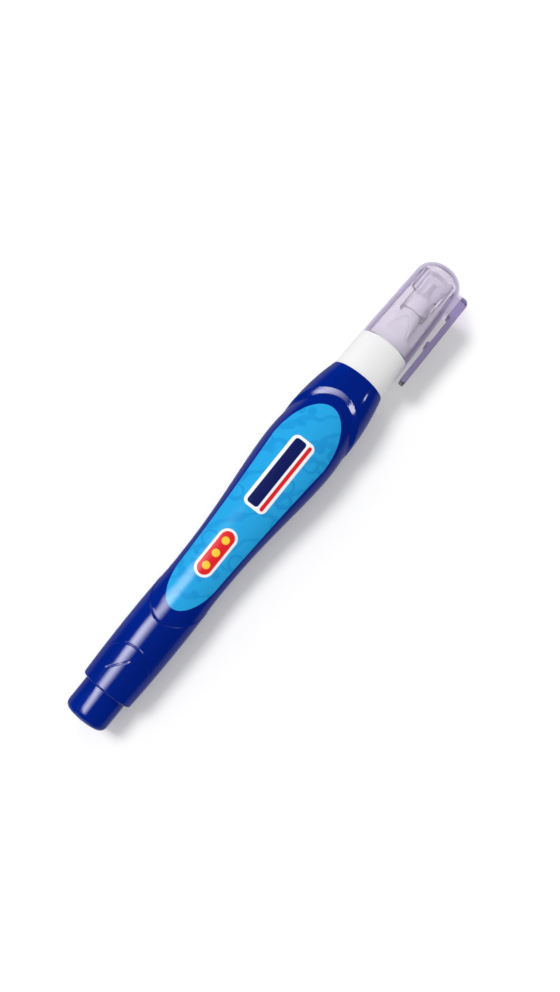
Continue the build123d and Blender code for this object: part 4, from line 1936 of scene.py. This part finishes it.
@dataclass
class CapSeal:
    """Soft closed sleeve between the cap's fins, which slips over the nose."""

    pen: PenFrame
    outer_radius: float = 3.45 * MM
    bore_radius: float = 2.7 * MM
    top_thickness: float = 0.85 * MM
    edge_round: float = 0.18 * MM

    def build(self, shop: Workshop) -> Object:
        """Make the sleeve.

        Args:
            shop: The workshop.

        Returns:
            The piece.
        """
        low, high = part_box("cap_seal")
        ceiling = high.x - self.top_thickness
        corners = [
            (ceiling, 0.0, 0.0),
            (ceiling, self.bore_radius, self.edge_round),
            (low.x, self.bore_radius, self.edge_round),
            (low.x, self.outer_radius, self.edge_round),
            (high.x, self.outer_radius, self.edge_round),
            (high.x, 0.0, 0.0),
        ]
        return shop.turned_piece("soft_seal", corners, False, Body.CAP, Slot.SEAL, "cap_seal")


@dataclass
class Valve:
    """What works inside the collar and the barrel: spring, needle, stem, seat and mixing ball."""

    pen: PenFrame
    wire_radius: float = 0.18 * MM
    coil_radius: float = 1.6 * MM
    turns: int = 4
    seat_front: float = 0.043
    needle_travel: float = 0.5 * MM

    def build(self, shop: Workshop) -> Object:
        """Wind the spring and dress the inner nodes.

        Args:
            shop: The workshop.

        Returns:
            The spring.
        """
        low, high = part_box("valve_spring")
        mesh = grown(
            shop.wire_coil,
            bpy.data.meshes.new("coil_spring"),
            {
                "Turns": float(self.turns),
                "Coil Radius": self.coil_radius,
                "Rise": high.x - low.x - 2 * self.wire_radius,
                "Wire Radius": self.wire_radius,
                "Start": (low.x + self.wire_radius, 0.0, self.pen.axis_height),
                "Finish": shop.materials[Slot.STEEL],
            },
        )
        spring = shop.hand_over("coil_spring", dressed(mesh), Body.BARREL, Slot.STEEL, "valve_spring")
        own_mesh(spring)
        for node, slot in (
            ("valve_needle", Slot.STEEL),
            ("needle_stem", Slot.VALVE),
            ("spring_seat", Slot.VALVE),
            ("mixing_ball", Slot.STEEL),
        ):
            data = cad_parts[node].data
            data.materials.clear()
            data.materials.append(shop.materials[slot])
            log.info("%s: the frame's own mesh, in %s", node, slot.value)
        return spring


# Studio


@dataclass
class Studio:
    """Pale floor, soft sky, a soft sun with a wide fill, and cards that only show in reflections.

    A row of the key card is a place along the pen, the four across it where the glow starts, is full, fades
    and ends, and the glow. A spot has the values that spot_card takes. A side row is a place across the pen
    and its glow. Places on cards are in millimetres.
    """

    pen: PenFrame
    floor_half_size: float = 4.0
    floor_rear_rise: float = 1.35 * MM
    floor_rear: float = -41.5 * MM
    floor_touch: float = 10.8 * MM
    floor_gap: float = 0.03 * MM
    floor_albedo: float = 0.9
    floor_glow: float = 0.13
    # painted light on the floor: a stronger glow to the pen's left, and a glow seen only through clear
    # plastic
    floor_left_painted_light: float = 0.25
    floor_painted_light_through_clear: float = 0.1
    floor_painted_light_sides: Point = (-4 * MM, 8 * MM)
    sun_strength: float = 1.64
    sun_angle: float = math.radians(18)
    sun_lean: float = SUN_LEAN
    fill_strength: float = 1.57
    fill_angle: float = math.radians(150)
    sky_horizon: float = 0.9
    sky_zenith: float = 0.012
    sky_through: float = 0.75
    sky_angles: Point = (math.radians(4), math.radians(24))
    card_colour: Colour = (0.95, 0.93, 1.0, 1.0)
    key_height: float = 0.1
    key_steps: tuple[int, int] = (141, 71)
    key_rows: tuple[tuple[float, ...], ...] = (
        (-94, -10, 30, 30, 84, 0),
        (-93, -10, 30, 30, 84, 0.4),
        (-90, -10, 30, 30, 84, 12),
        (-85, -9, 32, 32, 86, 12.5),
        (-78, -9, 36, 36, 92, 12.5),
        (-70, -9, 42, 44, 98, 13),
        (-65, -7, 50, 50, 107, 13.6),
        (-60, -6, 50, 50, 115, 14),
        (-51, -4, 58, 58, 122, 14),
        (-44, -2, 58, 58, 116, 12.5),
        (-38, -2, 50, 50, 108, 11),
        (-34, -2, 42, 42, 99, 10.5),
        (-32, -2, 42, 42, 110, 10),
        (-30.5, 1, 31, 50, 115, 11),
        (-28.5, 6, 36, 85, 130, 11),
        (-27.2, 6, 30, 96, 136, 10),
        (-26.3, 6, 30, 96, 136, 1.5),
        (-24, 8, 27, 100, 128, 0),
    )
    spots: tuple[tuple[str, Point, Point, Point, float, float], ...] = (
        ("left_arch_card", (-325, -150), (-185, -35), (55, 395), 250, 13.0),
        ("right_arch_card", (-290, -195), (-275, -180), (-95, 0), 250, 16.0),
        ("dash_card", (115, 130), (90, 103), (-142, -93), 60, 13.0),
    )
    spot_steps: int = 21
    spot_fade: float = 0.25
    side_rows: tuple[Point, ...] = ((9.5, 0.3), (28, 0.3), (47, 0.13), (70, 0.02), (150, 0.02))
    side_rise: float = 0.12
    side_lift: float = 0.4 * MM
    side_half_length: float = 0.3
    flag_height: float = 57.0 * MM
    flag_corners: tuple[tuple[Point, Point], ...] = (((-90, -35), (-130, -35)), ((-71, 85), (-130, 85)))

    def floor_height(self, station: float) -> float:
        """Return the floor's height at a station: it touches the panel's bulge and the rear swell."""
        slope = self.floor_rear_rise / (self.floor_rear - self.floor_touch)
        return slope * (station - self.floor_touch) - self.floor_gap

    def floor(self) -> Object:
        """Lay the floor, with a faint glow where it is seen so that it stays pale, and more glow to the pen's
        left and through the clear cap as painted light.

        Returns:
            The floor.
        """
        half = self.floor_half_size
        corners = [(-half, -half), (half, -half), (half, half), (-half, half)]
        mesh = bpy.data.meshes.new("floor")
        mesh.from_pydata([(x, y, self.floor_height(x)) for x, y in corners], [], [(0, 1, 2, 3)])
        floor = new_object("floor", mesh)
        material, sheet = bare_material("floor_paper")
        paper = sheet.add("ShaderNodeBsdfDiffuse", {"Color": (*(self.floor_albedo,) * 3, 1.0)})
        rays = sheet.add("ShaderNodeLightPath").outputs
        seen = sheet.math("MAXIMUM", rays["Is Camera Ray"], rays["Is Glossy Ray"])
        seen = sheet.math("MAXIMUM", seen, rays["Is Transmission Ray"])
        side = sheet.split(sheet.add("ShaderNodeTexCoord").outputs["Object"])["Y"]
        # painted light: the floor glows more to the pen's left, lifting the shade that the pen leaves there
        level = sheet.ramp(side, *self.floor_painted_light_sides, self.floor_glow, self.floor_left_painted_light)
        # painted light: seen through clear plastic the floor glows more, standing in for light the cap
        # gathers on it
        through = sheet.math("MULTIPLY", rays["Is Transmission Ray"], self.floor_painted_light_through_clear)
        glow = sheet.add("ShaderNodeEmission", {"Strength": sheet.math("MULTIPLY_ADD", seen, level, through)})
        both = sheet.add("ShaderNodeAddShader")
        sheet.feed(both.inputs[0], paper.outputs["BSDF"])
        sheet.feed(both.inputs[1], glow.outputs["Emission"])
        sheet.feed(sheet.tree.nodes["Material Output"].inputs["Surface"], both.outputs["Shader"])
        mesh.materials.append(material)
        return floor

    def sky(self) -> World:
        """Make a sky that is white at the horizon and dark overhead.

        Returns:
            The world.
        """
        world = bpy.data.worlds.new("studio_sky")
        bpy.context.scene.world = world
        world.use_nodes = True
        sheet = NodeSheet(world.node_tree)
        rise = sheet.split(sheet.add("ShaderNodeTexCoord").outputs["Generated"])["Z"]
        low, high = (math.sin(angle) for angle in self.sky_angles)
        plain = sheet.ramp(rise, low, high, self.sky_horizon, self.sky_zenith)
        rays = sheet.add("ShaderNodeLightPath")
        through = sheet.math("MULTIPLY", rays.outputs["Is Transmission Ray"], self.sky_through)
        strength = sheet.math("MAXIMUM", plain, through)
        background = world.node_tree.nodes["Background"]
        sheet.feed(background.inputs["Strength"], strength)
        background.inputs["Color"].default_value = (1.0, 1.0, 1.0, 1.0)
        return world

    def sun(self, name: str, strength: float, angle: float, lean: float) -> Object:
        """Set a soft sun, without a highlight of its own.

        Args:
            name: The lamp's name.
            strength: Its strength.
            angle: How wide it is.
            lean: How far it leans from overhead to the pen's left.

        Returns:
            The lamp.
        """
        lamp = bpy.data.lights.new(name, "SUN")
        lamp.energy = strength
        lamp.angle = angle
        sun = bpy.data.objects.new(name, lamp)
        bpy.context.scene.collection.objects.link(sun)
        sun.rotation_mode = "QUATERNION"
        sun.rotation_quaternion = Vector((0.0, math.sin(lean), math.cos(lean))).to_track_quat("Z", "Y")
        sun.visible_glossy = False
        sun.visible_transmission = False
        return sun

    def card(self, name: str, points: np.ndarray, glow: np.ndarray, material: Material) -> Object:
        """Hang a card that only shows in reflections.

        Args:
            name: The card's name.
            points: A grid of points.
            glow: How bright each point is.
            material: The cards' material.

        Returns:
            The card.
        """
        mesh = lattice(name, points, False)
        level = mesh.attributes.new("glow", "FLOAT", "POINT")
        level.data.foreach_set("value", glow.astype(np.float32).ravel())
        mesh.materials.append(material)
        card = new_object(name, mesh)
        card.visible_camera = False
        card.visible_diffuse = False
        card.visible_transmission = False
        card.visible_shadow = False
        return card

    def card_material(self) -> Material:
        """Make the material of the cards, which glow as their points say.

        Returns:
            The material.
        """
        material, sheet = bare_material("card_glow")
        level = sheet.add("ShaderNodeAttribute", attribute_name="glow").outputs["Fac"]
        glow = sheet.add("ShaderNodeEmission", {"Color": self.card_colour, "Strength": level})
        sheet.feed(sheet.tree.nodes["Material Output"].inputs["Surface"], glow.outputs["Emission"])
        return material

    def key_card(self, material: Material) -> Object:
        """Hang the long soft box over the pen's left, from the stub to the label's rear end.

        Args:
            material: The cards' material.

        Returns:
            The card.
        """
        rows = np.array(self.key_rows)
        steps, places = self.key_steps
        along = np.linspace(rows[0, 0], rows[-1, 0], steps)[:, None]
        across = np.linspace(rows[:, 1].min(), rows[:, 4].max(), places)[None, :]
        near, full, fading, far, level = (np.interp(along, rows[:, 0], column) for column in rows[:, 1:].T)
        rising, falling = eased((across - near) / (full - near)), eased((across - fading) / (far - fading))
        glow = level * rising * (1 - falling)
        points = np.stack(np.broadcast_arrays(along * MM, across * MM, self.key_height), axis=-1)
        return self.card("key_card", points, glow, material)

    def spot_card(
        self,
        name: str,
        near: Point,
        far: Point,
        across: Point,
        height: float,
        glow: float,
        material: Material,
    ) -> Object:
        """Hang a small level card, with its sizes in millimetres.

        Args:
            name: The card's name.
            near: Where its first edge starts and ends along the pen.
            far: Where its last edge starts and ends along the pen.
            across: Where its first and last edges are across the pen.
            height: How high it hangs.
            glow: How bright it is in the middle; it fades to nothing at its edges.
            material: The cards' material.

        Returns:
            The card.
        """
        share = np.linspace(0, 1, self.spot_steps)
        fade = eased(np.minimum(share, 1 - share) / self.spot_fade)
        starts, ends = (np.interp(share, (0, 1), pair)[None, :] for pair in zip(near, far))
        stations = starts + share[:, None] * (ends - starts)
        sides = np.interp(share, (0, 1), across)[None, :]
        points = np.stack(np.broadcast_arrays(stations, sides, height), axis=-1) * MM
        return self.card(name, points, glow * fade[:, None] * fade[None, :], material)

    def side_card(self, name: str, side: int, material: Material) -> Object:
        """Lay a grey card along one side of the pen and stand a dark one at its far edge.

        Args:
            name: The card's name.
            side: 1 for the pen's left and -1 for its right.
            material: The cards' material.

        Returns:
            The card.
        """
        ends = np.array((-self.side_half_length, self.side_half_length))
        base = np.array([self.floor_height(station) for station in ends]) + self.side_lift
        edge = self.side_rows[-1][0]
        rows = [(place, base, level) for place, level in self.side_rows]
        rows += [(edge, base, 0.0), (edge, base + self.side_rise, 0.0)]
        points = np.array([[(x, side * y * MM, z) for x, z in zip(ends, height)] for y, height, _ in rows])
        glow = np.array([[level, level] for *_, level in rows])
        return self.card(name, points, glow, material)

    def tail_flag(self, material: Material) -> Object:
        """Hang a dark card over the tail, so that the arch cards don't show in the stub's rounded edge."""
        points = np.array([[(x * MM, y * MM, self.flag_height) for x, y in row] for row in self.flag_corners])
        return self.card("tail_flag", points, np.zeros((2, 2)), material)

    def build(self) -> None:
        """Set up the studio."""
        self.floor()
        self.sky()
        self.sun("soft_sun", self.sun_strength, self.sun_angle, self.sun_lean)
        self.sun("wide_fill", self.fill_strength, self.fill_angle, 0.0)
        material = self.card_material()
        self.key_card(material)
        for spot in self.spots:
            self.spot_card(*spot, material)
        self.tail_flag(material)
        self.side_card("left_card", 1, material)
        self.side_card("right_card", -1, material)


@dataclass
class Viewpoint:
    """Camera of the photograph, worked out from the pen's axis in its picture."""

    pen: PenFrame
    lens: float = 35.2
    sensor: float = 36.0
    axis_lean: float = math.radians(51.0)
    axis_recede: float = math.radians(7.5)
    roll: float = math.radians(2.5)
    distance: float = 0.2249
    axis_point: float = -0.81 * MM
    side_offset: float = -2.21 * MM
    rise_offset: float = 1.81 * MM
    clip_range: Point = (0.01, 100.0)

    def build(self) -> Object:
        """Make the camera.

        Returns:
            The camera.
        """
        along = Vector(
            (
                math.cos(self.axis_lean) * math.cos(self.axis_recede),
                math.sin(self.axis_lean) * math.cos(self.axis_recede),
                -math.sin(self.axis_recede),
            )
        )
        up = (Vector((0, 0, 1)) - along * along.z).normalized()
        left = up.cross(along)
        facing = up * math.cos(self.roll) + left * math.sin(self.roll)
        to_side = left * math.cos(self.roll) - up * math.sin(self.roll)
        seen_from = Matrix((along, to_side, facing))
        spot = Vector((self.side_offset, self.rise_offset, -self.distance))
        place = Vector((self.axis_point, 0.0, self.pen.axis_height)) - seen_from @ spot
        data = bpy.data.cameras.new("photo_camera")
        data.lens = self.lens
        data.sensor_width = self.sensor
        data.clip_start, data.clip_end = self.clip_range
        camera = bpy.data.objects.new("photo_camera", data)
        bpy.context.scene.collection.objects.link(camera)
        camera.matrix_world = Matrix.Translation(place) @ seen_from.to_4x4()
        bpy.context.scene.camera = camera
        return camera


def main() -> None:
    """Build the pen, its finishes, the studio and the camera."""
    logging.basicConfig(level=logging.INFO, format="%(name)s: %(message)s")
    bpy.context.scene.view_settings.view_transform = "Standard"
    pen = PenFrame()
    shop = Workshop(pen)
    barrel = Barrel(pen)
    barrel.build(shop)
    TailPlug(pen).build(shop)
    Label(pen, barrel).build(shop)
    Collar(pen).build(shop)
    MetalTip(pen).build(shop)
    Valve(pen).build(shop)
    Cap(pen).build(shop)
    CapSeal(pen).build(shop)
    Studio(pen).build()
    Viewpoint(pen).build()


if __name__ == "__main__":
    main()
